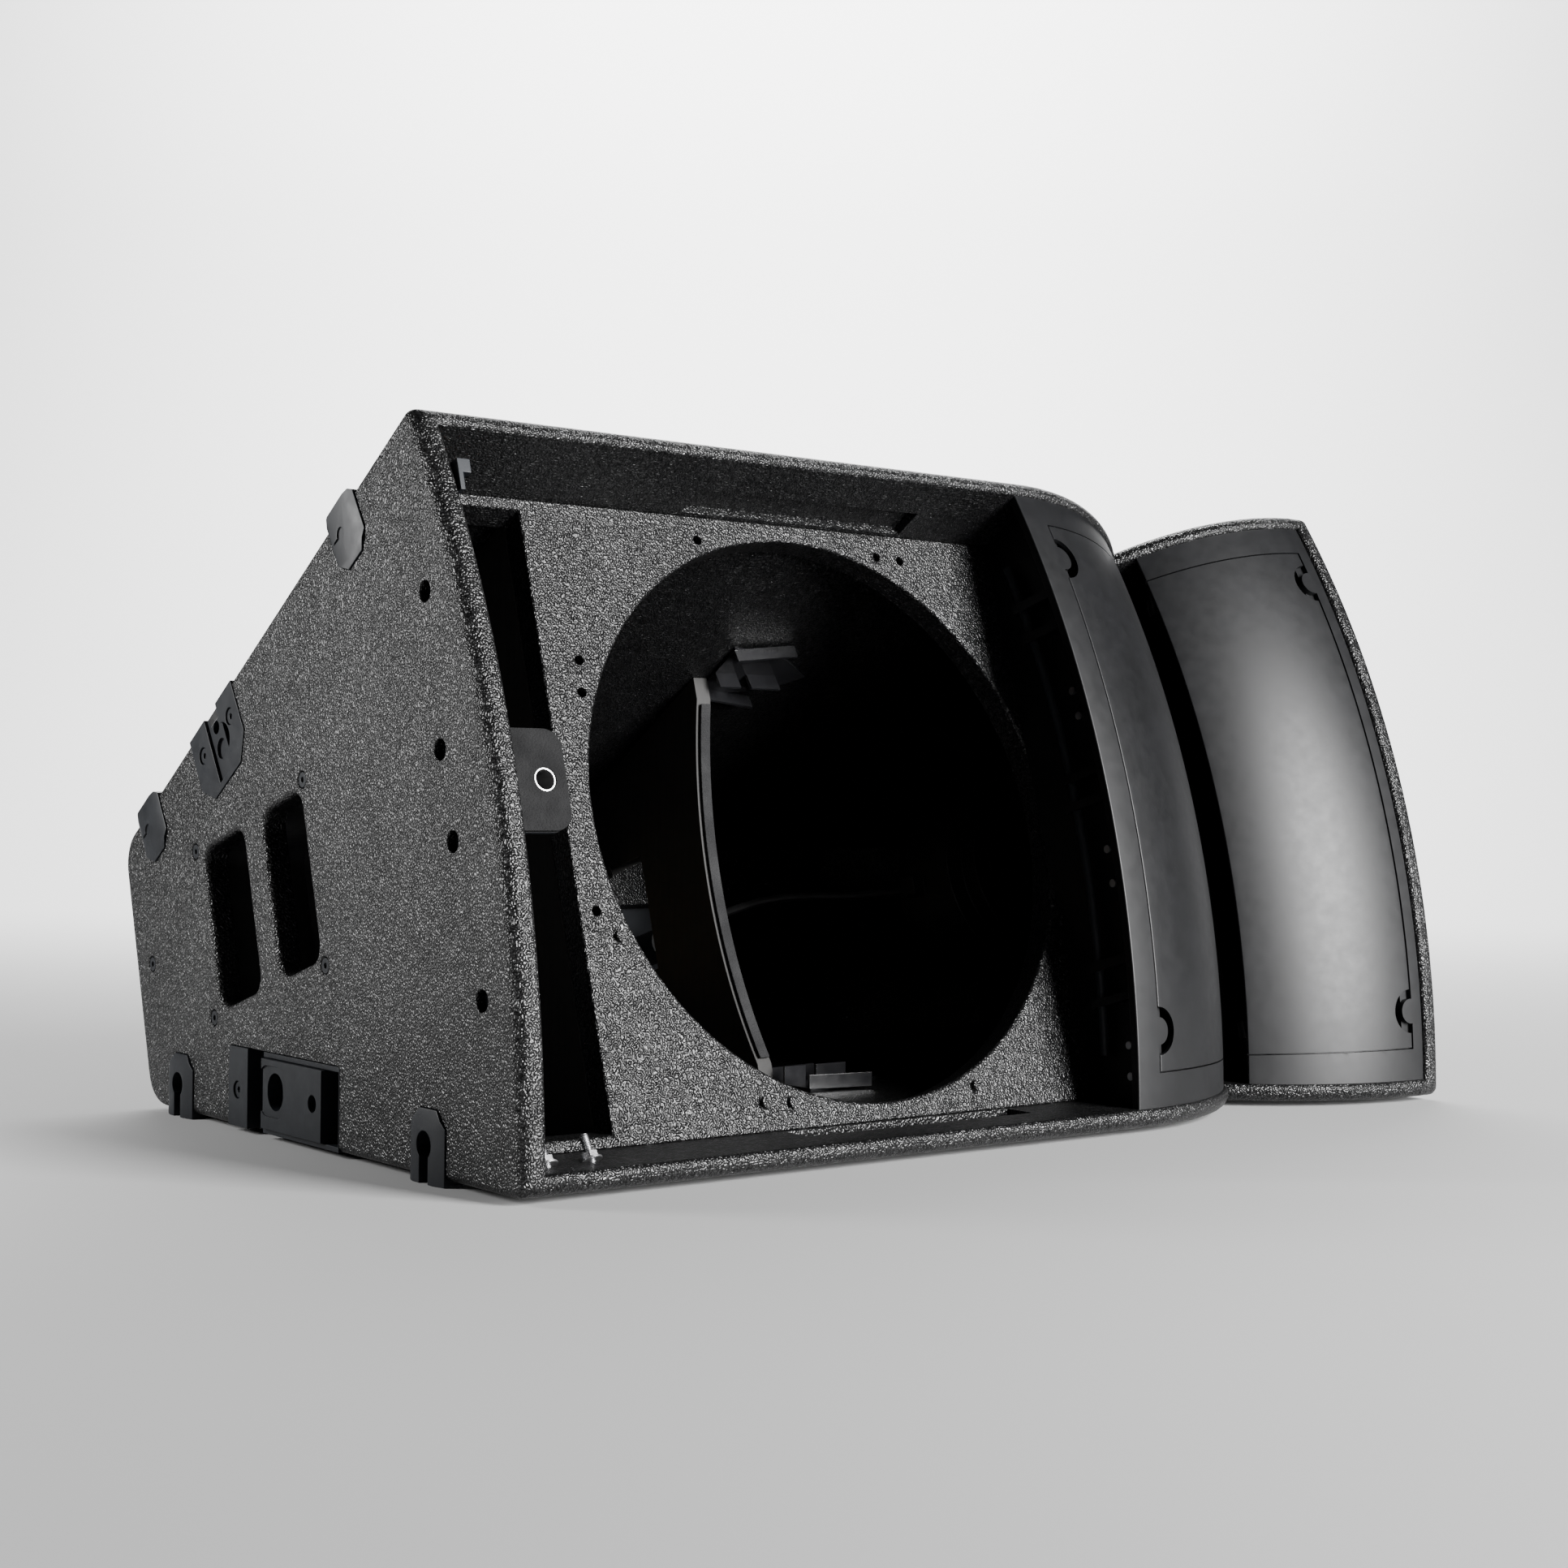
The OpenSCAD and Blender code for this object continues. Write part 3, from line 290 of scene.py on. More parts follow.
BOARD = surface("board_green", (0.01, 0.05, 0.02), (0.015, 0.075, 0.03), (0.4, 0.5),
                [("noise", 900, 0.00004)])
CABLE = surface("cable_jacket", (0.005, 0.005, 0.0055), (0.008, 0.008, 0.0085), (0.55, 0.65),
                [("noise", 1800, 0.00006)])
PLY = ply_material()
WINDING = winding_material()


# ---- Mesh helpers ----

def mesh_object(name, pts, faces):
    """An object in the row frame from points of the cabinet frame, its faces turned outwards."""
    bm = bmesh.new()
    verts = [bm.verts.new(row(p)) for p in pts]
    for f in faces:
        bm.faces.new([verts[i] for i in f])
    bmesh.ops.recalc_face_normals(bm, faces=bm.faces)
    mesh = bpy.data.meshes.new(name)
    bm.to_mesh(mesh)
    bm.free()
    obj = bpy.data.objects.new(name, mesh)
    scene.collection.objects.link(obj)
    return obj


def loft(rings):
    """Closed skin over rings of equal length, with flat caps."""
    n = len(rings[0])
    pts = [p for ring in rings for p in ring]
    faces = [(i * n + k, i * n + (k + 1) % n, (i + 1) * n + (k + 1) % n, (i + 1) * n + k)
             for i in range(len(rings) - 1) for k in range(n)]
    last = (len(rings) - 1) * n
    return pts, faces + [tuple(range(n)), tuple(last + k for k in range(n))]


def gather(shells):
    """Several (points, faces) shells as one."""
    pts, faces = [], []
    for p, f in shells:
        faces += [tuple(i + len(pts) for i in face) for face in f]
        pts += p
    return pts, faces


def flipped(shell):
    """A shell mirrored to the cabinet's other side."""
    return flip(shell[0]), shell[1]


def lattice(obj, step):
    """Cuts obj's faces along planes of the cabinet frame, step mm apart, to keep them small."""
    aside = 1.7  # keeps the planes off the shape's own edges
    front, half = -20, 220
    bm = bmesh.new()
    bm.from_mesh(obj.data)
    origin = row((0, 0, 0))
    for axis, low, high in ((0, 0, W), (1, front, D), (2, -half, half)):
        unit = [0, 0, 0]
        unit[axis] = MM
        normal = row(unit) - origin
        for i in range(1, int((high - low) / step)):
            place = [0, 0, 0]
            place[axis] = low + i * step + aside
            bmesh.ops.bisect_plane(bm, geom=bm.verts[:] + bm.edges[:] + bm.faces[:],
                                   plane_co=row(place), plane_no=normal)
    bm.to_mesh(obj.data)
    bm.free()


def bake(obj):
    """The object's modifiers made into its own mesh."""
    bpy.context.view_layer.update()
    shown = obj.evaluated_get(bpy.context.evaluated_depsgraph_get())
    mesh = bpy.data.meshes.new_from_object(shown)
    obj.modifiers.clear()
    obj.data = mesh
    return obj


def combine(obj, tools, operation="DIFFERENCE"):
    """Cuts the tools, which are used up, out of obj, or joins them by another operation."""
    for i, tool in enumerate(tools):
        mod = obj.modifiers.new("cut_%d" % i, "BOOLEAN")
        mod.operation, mod.solver, mod.object = operation, "EXACT", tool
    bake(obj)
    for tool in tools:
        bpy.data.objects.remove(tool)
    return obj


def carve(obj, shells, operation="DIFFERENCE"):
    """Cuts shells, each a closed (points, faces), out of obj."""
    tools = [mesh_object("tool_%d" % i, *shell) for i, shell in enumerate(shells)]
    return combine(obj, tools, operation)


def soften(obj, width, segments=2, angle=32):
    """Rounds obj's edges that turn by more than angle degrees, width mm wide."""
    mod = obj.modifiers.new("soften", "BEVEL")
    mod.width, mod.segments, mod.limit_method = width / MM, segments, "ANGLE"
    mod.angle_limit = math.radians(angle)
    return bake(obj)


def dress(obj, material, body, replaces=()):
    """Material, smooth shading with flat faces kept flat, and the body it rides."""
    sharp = 34  # degrees
    mesh = obj.data
    mesh.materials.clear()
    mesh.materials.append(material)
    mesh.polygons.foreach_set("material_index", [0] * len(mesh.polygons))
    mesh.polygons.foreach_set("use_smooth", [True] * len(mesh.polygons))
    mesh.set_sharp_from_angle(angle=math.radians(sharp))
    mod = obj.modifiers.new("flat_faces", "WEIGHTED_NORMAL")
    mod.keep_sharp = True
    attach(obj, body)
    if replaces:
        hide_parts(*replaces)
    return obj


def refine(node, material, body="cabinet", width=0.5, segments=2):
    """A CAD node's shape with its flat faces whole and its edges rounded."""
    weld, sliver, flat = 2e-6, 1e-6, math.radians(0.6)
    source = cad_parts[node]
    bm = bmesh.new()
    bm.from_mesh(source.data)
    bm.transform(source.matrix_world)
    plain = bmesh.new()
    verts = [plain.verts.new(v.co) for v in bm.verts]
    bm.verts.index_update()
    for f in bm.faces:
        plain.faces.new([verts[v.index] for v in f.verts])
    bm.free()
    bmesh.ops.remove_doubles(plain, verts=plain.verts, dist=weld)
    bmesh.ops.dissolve_degenerate(plain, dist=sliver, edges=plain.edges)
    bmesh.ops.dissolve_limit(plain, angle_limit=flat, verts=plain.verts, edges=plain.edges)
    mesh = bpy.data.meshes.new(node + "_look")
    plain.to_mesh(mesh)
    plain.free()
    obj = bpy.data.objects.new(node + "_look", mesh)
    scene.collection.objects.link(obj)
    if width:
        soften(obj, width, segments)
    return dress(obj, material, body, (node,))


# ---- Cabinet skin ----

def outline_cores(arc=56, corner=8, rear=10):
    """Points inside the side outline, as (y, z, ny, nz, r): the point is EDGE_R inside along
    its outward normal, and r is the rounding there towards the side faces."""
    core_r = R - EDGE_R
    top = ALPHA - math.asin(EDGE_R / core_r)
    pts = []
    for i in range(arc + 1):
        a = -top + 2 * top * i / arc
        pts.append((APEX - core_r * math.cos(a), core_r * math.sin(a),
                    -math.cos(a), math.sin(a), EDGE_R))
    y, z = pts[-1][:2]
    for i in range(1, corner + 1):
        a = top + (math.pi / 2 - (top - ALPHA)) * i / corner
        pts.append((y, z, -math.cos(a), math.sin(a),
                    EDGE_R + (SIDE_EDGE_R - EDGE_R) * i / corner))
    for i in range(rear + 1):
        a = math.pi / 2 - ALPHA - (math.pi / 2 - ALPHA) * i / rear
        n = (math.cos(a), math.sin(a))
        k = CORNER_R - EDGE_R
        pts.append((CORNER_Y + k * n[0], CORNER_Z + k * n[1], n[0], n[1], SIDE_EDGE_R))
    lower = [(y, -z, ny, -nz, r) for y, z, ny, nz, r in reversed(pts[arc + 1:])]
    return pts + lower


def outer_shell(steps=6):
    """The cabinet's outside with all its roundings."""
    cores = outline_cores()

    def ring(turn, far):
        pts = []
        for y, z, ny, nz, r in cores:
            x = r * (1 - math.cos(turn))
            off = EDGE_R - r + r * math.sin(turn)
            pts.append((W - x if far else x, y + off * ny, z + off * nz))
        return pts
    turns = [math.pi / 2 * i / steps for i in range(steps + 1)]
    return loft([ring(t, False) for t in turns] + [ring(t, True) for t in reversed(turns)])


def rounding(x, r):
    """How far an edge of radius r has drawn back at distance x from the face."""
    return r - math.sqrt(max(0.0, r * r - (r - min(x, r)) ** 2))


def cavity_shell(arc=56, steps=5):
    """The inside of the cabinet, open to the front, its lip rounded."""
    ahead = 12.0

    def ring(rho, e):
        a = ALPHA - math.asin((PANEL_T - e) / rho)
        angles = [-a + 2 * a * i / arc for i in range(arc + 1)]
        return ([polar(rho, t, SIDE_T - e) for t in angles]
                + [polar(rho, t, W - SIDE_T + e) for t in reversed(angles)])
    rings = [ring(R + ahead, LIP_R)]
    for i in range(steps + 1):
        s = LIP_R * (1 - math.cos(math.pi / 2 * i / steps))
        rings.append(ring(R - s, rounding(s, LIP_R)))
    h = inner_height(REAR_IN)
    heights = [-h + 2 * h * i / arc for i in range(arc + 1)]
    rings.append([(SIDE_T, REAR_IN, z) for z in heights]
                 + [(W - SIDE_T, REAR_IN, z) for z in reversed(heights)])
    return loft(rings)


def notch_shell(up, arc=28, steps=6):
    """The V that both flares cut through the top or bottom panel, its edges rounded."""
    above, below, ahead, tip = 4.0, 6.0, 30.0, math.radians(2.5)
    levels = [(-above, EDGE_R)]
    for i in range(steps + 1):
        d = EDGE_R * (1 - math.cos(math.pi / 2 * i / steps))
        levels.append((d, rounding(d, EDGE_R)))
    inner = PANEL_T - LIP_R
    for i in range(steps + 1):
        s = LIP_R * math.sin(math.pi / 2 * i / steps)
        levels.append((inner + s, LIP_R - math.sqrt(max(0.0, LIP_R ** 2 - s * s))))
    levels.append((PANEL_T + below, LIP_R))
    rings = []
    for d, e in levels:
        q = FLARE_R + FLARE_STEP - e
        last = math.asin(FLARE_HALF / q)
        angles = [tip + (last - tip) * i / arc for i in range(arc + 1)]
        left = [(FLARE_C + q * math.cos(a), HORN_X - FLARE_HALF + q * math.sin(a))
                for a in angles]
        right = [(r, 2 * HORN_X - x) for r, x in reversed(left[:-1])]
        flat = [(R + ahead, left[0][1])] + left + right + [(R + ahead, right[-1][1])]
        rings.append([edge_pt(math.sqrt(r * r - d * d), d, x, up) for r, x in flat])
    return loft(rings)


def offset_outline(pts, e):
    """A convex outline moved outwards by e."""
    area = sum(p[0] * q[1] - q[0] * p[1] for p, q in zip(pts, pts[1:] + pts[:1]))
    turn = 1 if area > 0 else -1
    out = []
    for i, p in enumerate(pts):
        a, b = pts[i - 1], pts[(i + 1) % len(pts)]
        d0 = Vector((p[0] - a[0], p[1] - a[1])).normalized()
        d1 = Vector((b[0] - p[0], b[1] - p[1])).normalized()
        n0, n1 = Vector((d0.y, -d0.x)) * turn, Vector((d1.y, -d1.x)) * turn
        m = (n0 + n1) / (1 + n0.dot(n1))
        out.append((p[0] + m.x * e, p[1] + m.y * e))
    return out


def soft_rect(low, high, r, n=8):
    """A rectangle's outline with rounded corners."""
    pts = []
    for cx, cy, start in ((high[0] - r, high[1] - r, 0), (low[0] + r, high[1] - r, 90),
                          (low[0] + r, low[1] + r, 180), (high[0] - r, low[1] + r, 270)):
        for i in range(n + 1):
            a = math.radians(start + 90 * i / n)
            pts.append((cx + r * math.cos(a), cy + r * math.sin(a)))
    return pts


def circle(cx, cy, r, n=32):
    """A circle's outline."""
    return [(cx + r * math.cos(2 * math.pi * i / n), cy + r * math.sin(2 * math.pi * i / n))
            for i in range(n)]


def plug(outline, depth, r, steps=4):
    """A cutter into the left face from a [y, z] outline, flared by a rounding of radius r."""
    rings = [[(-CLEAR, y, z) for y, z in offset_outline(outline, r)]]
    for i in range(steps + 1):
        x = r * (1 - math.cos(math.pi / 2 * i / steps))
        rings.append([(x, y, z) for y, z in offset_outline(outline, rounding(x, r))])
    rings.append([(depth, y, z) for y, z in outline])
    return loft(rings)


def edge_outline(pts, up):
    """Points given as (distance from the apex along the edge, height over it), as [y, z]."""
    return [edge_pt(length, -over, 0, up)[1:] for length, over in pts]


GAP = 0.15  # round a fitting
POCKET, POCKET_R = 12.15, 0.8
FEET = (664.0, 351.0)  # distances from the apex
FOOT_HALF, FOOT_DEEP, FOOT_CUT = 18, 36, 9
RIG_PLATE, RIG_FRAME = (427, 496, 51, 14), (421, 563, 48, 1.5)
HAND_SLOTS, SLOT_HALF, SLOT_R, SLOT_EDGE_R = ((180, 231), (259, 315)), 50, 11, 4.0
CUP_SCREWS = ((175, 55), (175, -55), (327, 53), (327, -53), (410, 0))
CUP_SCREW_R, CUP_SCREW_DEEP, CUP_SCREW_EDGE_R = 5.0, 3.2, 1.2
SIDE_HOLES = ((708, 25), (708, -25), (723, 111), (723, -111))
SIDE_HOLE_R, SIDE_HOLE_DEEP, SIDE_HOLE_EDGE_R = 5.65, 9, 1.0
SLOT_DEEP = SIDE_T + 2


def fitting(r0, r1, deep, cut):
    """The outline of a fitting let into the side, as (distance from the apex along the edge,
    height over it), a gap larger and with its two inner corners cut."""
    past = 10
    return [(r0 - GAP, past), (r1 + GAP, past), (r1 + GAP, -deep + cut), (r1 - cut, -deep - GAP),
            (r0 + cut, -deep - GAP), (r0 - GAP, -deep + cut)]


def side_cutters():
    """The left side's pockets for its fittings, hand-hold slots and screw recesses."""
    fittings = [(fitting(m - FOOT_HALF, m + FOOT_HALF, FOOT_DEEP, FOOT_CUT), up)
                for m in FEET for up in (1, -1)]
    fittings += [(fitting(*RIG_PLATE), 1), (fitting(*RIG_FRAME), -1)]
    shells = [plug(edge_outline(outline, up), POCKET, POCKET_R) for outline, up in fittings]
    for y0, y1 in HAND_SLOTS:
        slot = soft_rect((y0, -SLOT_HALF), (y1, SLOT_HALF), SLOT_R)
        shells.append(plug(slot, SLOT_DEEP, SLOT_EDGE_R, 6))
    for y, z in CUP_SCREWS:
        shells.append(plug(circle(y, z, CUP_SCREW_R, 24), CUP_SCREW_DEEP, CUP_SCREW_EDGE_R))
    for r, z in SIDE_HOLES:
        y = APEX - math.sqrt(r * r - z * z)
        shells.append(plug(circle(y, z, SIDE_HOLE_R), SIDE_HOLE_DEEP, SIDE_HOLE_EDGE_R))
    return gather(shells)


def edge_box(r0, r1, d0, d1, x0, x1, up):
    """A box in the edge's frame: distances from the apex, depths under the edge, and x."""
    return loft([[edge_pt(r0, d0, x, up), edge_pt(r1, d0, x, up), edge_pt(r1, d1, x, up),
                  edge_pt(r0, d1, x, up)] for x in (x0, x1)])


def block(low, high):
    """A box between two corners."""
    return loft([[(x, low[1], low[2]), (x, high[1], low[2]), (x, high[1], high[2]),
                  (x, low[1], high[2])] for x in (low[0], high[0])])


PLATE_X, PLATE_W, PLATE_H, PLATE_SINK, PLATE_RIM = 440.0, 190.0, 96.0, 3.0, 14.0
# A shallow groove in each panel's inner face, as distances from the apex, depths and x.
GROOVE = (704.5, 726, 6, 14, 207, 381)
SKIN_CELL = 48


def build_cabinet():
    """The painted outside and inside of the cabinet, with its recesses and openings."""
    behind, within, overlap = 9, 5, 1
    skin = mesh_object("cabinet_skin", *outer_shell())
    lattice(skin, SKIN_CELL)
    left = side_cutters()
    carve(skin, [cavity_shell(), notch_shell(1), notch_shell(-1), left, flipped(left)])
    grooves = gather([edge_box(*GROOVE, up) for up in (1, -1)])
    hx, hz = PLATE_W / 2 + GAP, PLATE_H / 2 + GAP
    sunk = block((PLATE_X - hx, D - PLATE_SINK, -hz), (PLATE_X + hx, D + behind, hz))
    hx, hz = hx - PLATE_RIM, hz - PLATE_RIM
    through = block((PLATE_X - hx, REAR_IN - within, -hz), (PLATE_X + hx, D - overlap, hz))
    carve(skin, [grooves, sunk, through])
    dress(skin, PAINT, "cabinet",
          ("top_panel", "bottom_panel", "side_panel_left", "side_panel_right", "rear_panel"))


# ---- Baffle ----

def bore_y(x, z, r, y0, y1, flare, n=32, steps=4):
    """A cutter from y0 back to y1, flared at y0."""
    rings = [[(px, y0 - CLEAR, pz) for px, pz in circle(x, z, r + flare, n)]]
    for i in range(steps + 1):
        s = flare * (1 - math.cos(math.pi / 2 * i / steps))
        rings.append([(px, y0 + s, pz) for px, pz in circle(x, z, r + rounding(s, flare), n)])
    rings.append([(px, y1, pz) for px, pz in circle(x, z, r, n)])
    return loft(rings)


# Distances from the woofer's centre and angles, in degrees.
BOLT_HOLES = [(186.5, 22.5 + 45 * i) for i in range(8)]
BOLT_HOLES += [(193.5, angle) for angle in (62, 152, 197, 242)]
BOLT_HOLE_R, BOLT_EDGE_R, WOOFER_EDGE_R, BAFFLE_EDGE_R = 2.8, 0.8, 2.5, 1.6
BAFFLE_RIGHT, PORT_SILL, BAFFLE_CELL = HORN_X - 82, 7.0, 32


def build_baffle():
    """The painted baffle, with the woofer's cut-out, its bolt holes and the port slot."""
    y0, y1 = BAFFLE_Y, BAFFLE_Y + BAFFLE_T
    right, sill = BAFFLE_RIGHT, PORT_SILL
    h0, h1 = inner_height(y0), inner_height(y1)
    front = [(SIDE_T, -h0), (right, -h0), (right, h0), (SIDE_T, h0), (SIDE_T, h0 - sill),
             (BAFFLE_X, h0 - sill), (BAFFLE_X, -h0 + sill), (SIDE_T, -h0 + sill)]
    back = [(x, z * (h1 / h0 if abs(z) == h0 else (h1 - sill) / (h0 - sill))) for x, z in front]
    obj = mesh_object("baffle_skin", *loft([[(x, y0, z) for x, z in front],
                                            [(x, y1, z) for x, z in back]]))
    soften(obj, BAFFLE_EDGE_R, 3)
    lattice(obj, BAFFLE_CELL)
    small = [bore_y(WOOFER_X + r * math.cos(math.radians(a)), r * math.sin(math.radians(a)),
                    BOLT_HOLE_R, y0, y1 + CLEAR, BOLT_EDGE_R, 20) for r, a in BOLT_HOLES]
    large = bore_y(WOOFER_X, 0, WOOFER_R, y0, y1 + CLEAR, WOOFER_EDGE_R, 128)
    carve(obj, [large, gather(small)])
    dress(obj, PAINT, "cabinet", ("baffle",))


# ---- Horn ----

def flare_pt(side, a, off):
    """The point (r, x) of a flare's arc at angle a, off in front of its surface."""
    return (FLARE_C + (FLARE_R + off) * math.cos(a),
            HORN_X + side * (FLARE_HALF - (FLARE_R + off) * math.sin(a)))


def flare_angle(dx):
    """The angle of a flare's arc at dx from the horn's middle."""
    return math.asin((FLARE_HALF - dx) / FLARE_R)


def flare_profile(side, dx0, dx1, back, front, n=40, r=0.0):
    """Closed (r, x) profile of a flare's wall, its four edges rounded by r."""
    a0 = flare_angle(min(dx0, FLARE_HALF))
    a1 = flare_angle(dx1)
    lip = max(0.0, dx0 - FLARE_HALF)

    def strip(off, trim):
        t0 = a0 if lip else a0 + trim / FLARE_R
        t1 = a1 - trim / FLARE_R
        pts = [flare_pt(side, t0 + (t1 - t0) * i / n, off) for i in range(n + 1)]
        if lip:
            x = HORN_X + side * (dx0 - trim)
            pts = [(FLARE_C + FLARE_R + off, x)] + pts
        return pts
    if not r:
        return strip(front, 0) + list(reversed(strip(back, 0)))
    corner = [(r * (1 - math.cos(t)), r * (1 - math.sin(t)))
              for t in (0.0, math.pi / 6, math.pi / 3, math.pi / 2)]
    pts = strip(front, r)
    end = [strip(front - q, p)[-1] for p, q in reversed(corner[:-1])]
    end += [strip(back + q, p)[-1] for p, q in corner[:-1]]
    start = [strip(back + q, p)[0] for p, q in reversed(corner[:-1])]
    start += [strip(front - q, p)[0] for p, q in corner[:-1]]
    return pts + end + list(reversed(strip(back, r))) + start


def swept(profile, a0, a1, n=72):
    """A closed (r, x) profile turned about the apex line from angle a0 to a1."""
    return loft([[polar(r, a0 + (a1 - a0) * i / n, x) for r, x in profile] for i in range(n + 1)])


def spot(side, r, a, n=48):
    """A cylinder along the radius at angle a, through the fin's outer edge."""
    behind, ahead = 90, 20
    ca, sa = math.cos(a), math.sin(a)

    def at(px, pz, rho):
        return (HORN_X + side * FIN_HALF + px, APEX - rho * ca + pz * sa, rho * sa + pz * ca)
    return loft([[at(px, pz, rho) for px, pz in circle(0, 0, r, n)]
                 for rho in (R - behind, R + ahead)])


def inner_wedge():
    """The cabinet's inside around the horn, a little narrower than the sides leave."""
    y0, y1, gap = -60, 160, 0.3
    return loft([[(x, y0, inner_height(y0)), (x, y1, inner_height(y1)),
                  (x, y1, -inner_height(y1)), (x, y0, -inner_height(y0))]
                 for x in (SIDE_T + gap, W - SIDE_T - gap)])


PIN_DX, PIN_Y = 21.0, 47.0
LUG_R, LUG_BORE_R, LUG_H, LUG_WEB, LUG_INSET = 5.0, 2.1, 12.0, 4.0, 10.0
LUG_TOP = (APEX - PIN_Y) * math.tan(FIN_A) - LUG_INSET


def rod_z(x, y, r, z0, z1, n=32):
    """An upright rod."""
    return loft([[(px, py, z) for px, py in circle(x, y, r, n)] for z in (z0, z1)])


def behind_fin(dx, z):
    """How far back the middle of a fin's wall is, dx from the horn's centre and z up."""
    r = FLARE_C + math.sqrt((FLARE_R - FIN_T / 2) ** 2 - (FLARE_HALF - dx) ** 2)
    return APEX - math.sqrt(r * r - z * z)


def build_fin_lugs(side, tag):
    """The two bored lugs behind a fin's throat edge."""
    past = 2
    x = HORN_X + side * PIN_DX
    ends = (PIN_DX - LUG_WEB, PIN_DX + LUG_WEB)
    for up, end in ((1, "upper"), (-1, "lower")):
        z0, z1 = sorted((up * LUG_TOP, up * (LUG_TOP - LUG_H)))
        web = loft([[(HORN_X + side * ends[0], behind_fin(ends[0], z), z),
                     (HORN_X + side * ends[1], behind_fin(ends[1], z), z),
                     (HORN_X + side * ends[1], PIN_Y, z), (HORN_X + side * ends[0], PIN_Y, z)]
                    for z in (z0, z1)])
        lug = mesh_object("fin_lug_%s_%s" % (tag, end), *rod_z(x, PIN_Y, LUG_R, z0, z1))
        carve(lug, [web], "UNION")
        carve(lug, [rod_z(x, PIN_Y, LUG_BORE_R, z0 - past, z1 + past)])
        soften(lug, 0.5, 2)
        dress(lug, MOULDED, "fin_" + tag)


FIN_GAP, FIN_BACK_GAP, FIN_SEAT = 1.0, 0.8, 6.0
THROAT_PAST, FRONT_PAST, BACK_PAST = 1.0, 1.2, 1.0  # how far the horn's cutters reach out
FLARE_EDGE_ANGLE = 40  # degrees: sharper edges of the horn's pieces are rounded


def build_horn(side, tag):
    """A horn surround, with the fin's seat and opening in it, and the fin."""
    gap, ledge, over = FIN_GAP / R, 0.5 / 57.3, ALPHA + 0.02
    wall = flare_profile(side, FRAME_HALF[side], THROAT_HALF, -FRAME_T, 0, r=1.0)
    body = mesh_object("horn_surround_" + tag, *swept(wall, -over, over))
    carve(body, [inner_wedge()], "INTERSECT")
    seat = flare_profile(side, FIN_HALF + FIN_GAP, THROAT_HALF - THROAT_PAST,
                         -FIN_T - FIN_BACK_GAP, FRONT_PAST)
    opening = flare_profile(side, FIN_HALF - FIN_SEAT, THROAT_HALF - THROAT_PAST,
                            -FRAME_T - BACK_PAST, -FIN_T)
    tongues = [spot(side, TONGUE_R, s * NOTCH_A) for s in (1, -1)]
    for profile, reach in ((seat, FIN_A + gap), (opening, FIN_A - ledge)):
        tool = mesh_object("tool", *swept(profile, -reach, reach))
        combine(body, [carve(tool, tongues)])
    soften(body, 0.5, 2, FLARE_EDGE_ANGLE)
    dress(body, MOULDED, "cabinet", ("horn_frame_" + tag,))

    plate = flare_profile(side, FIN_HALF, THROAT_HALF, -FIN_T, 0, r=0.9)
    fin = mesh_object("fin_skin_" + tag, *swept(plate, -FIN_A, FIN_A))
    carve(fin, [spot(side, NOTCH_R, s * NOTCH_A) for s in (1, -1)])
    soften(fin, 0.6, 2, FLARE_EDGE_ANGLE)
    dress(fin, MOULDED, "fin_" + tag, ("fin_" + tag,))
    build_fin_lugs(side, tag)


# ---- Studs in the port ----

STUDS = ((30.0, 20.0, 19.0), (58.0, 21.0, 15.0))  # x, y and height over the panel
STUD_R, STUD_ROOT, PITCH, THREAD, TIP, ROWS_PER_TURN = 2.5, 6.0, 0.9, 0.42, 0.8, 7
RING_BORE_R, WASHER_R, WASHER_T, NUT_R, NUT_T = 2.6, 6.0, 1.2, 4.6, 3.5
ROUND = 36  # sides of a round ring


def stud_point(x, y, px, py, pz):
    """A point of a stud's own frame: pz away from the bottom panel's inner face."""
    z = -inner_height(y)
    return (x + px, y + py * CA + pz * SA, z - py * SA + pz * CA)


def threaded(x, y, length, n=28):
    """A rod with a helical ridge, standing in the bottom panel."""
    whole = length + STUD_ROOT
    rows = int(whole / PITCH * ROWS_PER_TURN)
    rings = []
    for i in range(rows + 1):
        h = -STUD_ROOT + whole * i / rows
        ring = []
        for k in range(n):
            phase = (h / PITCH - k / n) % 1.0
            depth = THREAD * abs(2 * phase - 1) if h < length - TIP else THREAD
            a = 2 * math.pi * k / n
            reach = STUD_R - depth
            ring.append(stud_point(x, y, reach * math.cos(a), reach * math.sin(a), h))
        rings.append(ring)
    return loft(rings)


def ring_about(x, y, outer, z0, z1, sides):
    """A bored washer or nut, with a number of sides, about a stud."""
    pts = []
    for r, h in ((outer, z0), (outer, z1), (RING_BORE_R, z1), (RING_BORE_R, z0)):
        for k in range(ROUND):
            a = 2 * math.pi * k / ROUND
            reach = r
            if r == outer and sides < ROUND:
                part = (a % (2 * math.pi / sides)) - math.pi / sides
                reach = r * math.cos(math.pi / sides) / math.cos(part)
            pts.append(stud_point(x, y, reach * math.cos(a), reach * math.sin(a), h))
    faces = []
    for i in range(4):
        here, there = i * ROUND, (i + 1) % 4 * ROUND
        for k in range(ROUND):
            m = (k + 1) % ROUND
            faces.append((here + k, here + m, there + m, there + k))
    return pts, faces


def build_studs():
    """The two studs, each with a washer and a nut."""
    parts = []
    for x, y, length in STUDS:
        parts.append(threaded(x, y, length))
        parts.append(ring_about(x, y, WASHER_R, 0.0, WASHER_T, ROUND))
        parts.append(ring_about(x, y, NUT_R, WASHER_T, WASHER_T + NUT_T, 6))
    obj = mesh_object("stud_threads", *gather(parts))
    soften(obj, 0.15, 1, 50)
    dress(obj, ZINC, "cabinet", ("port_studs",))


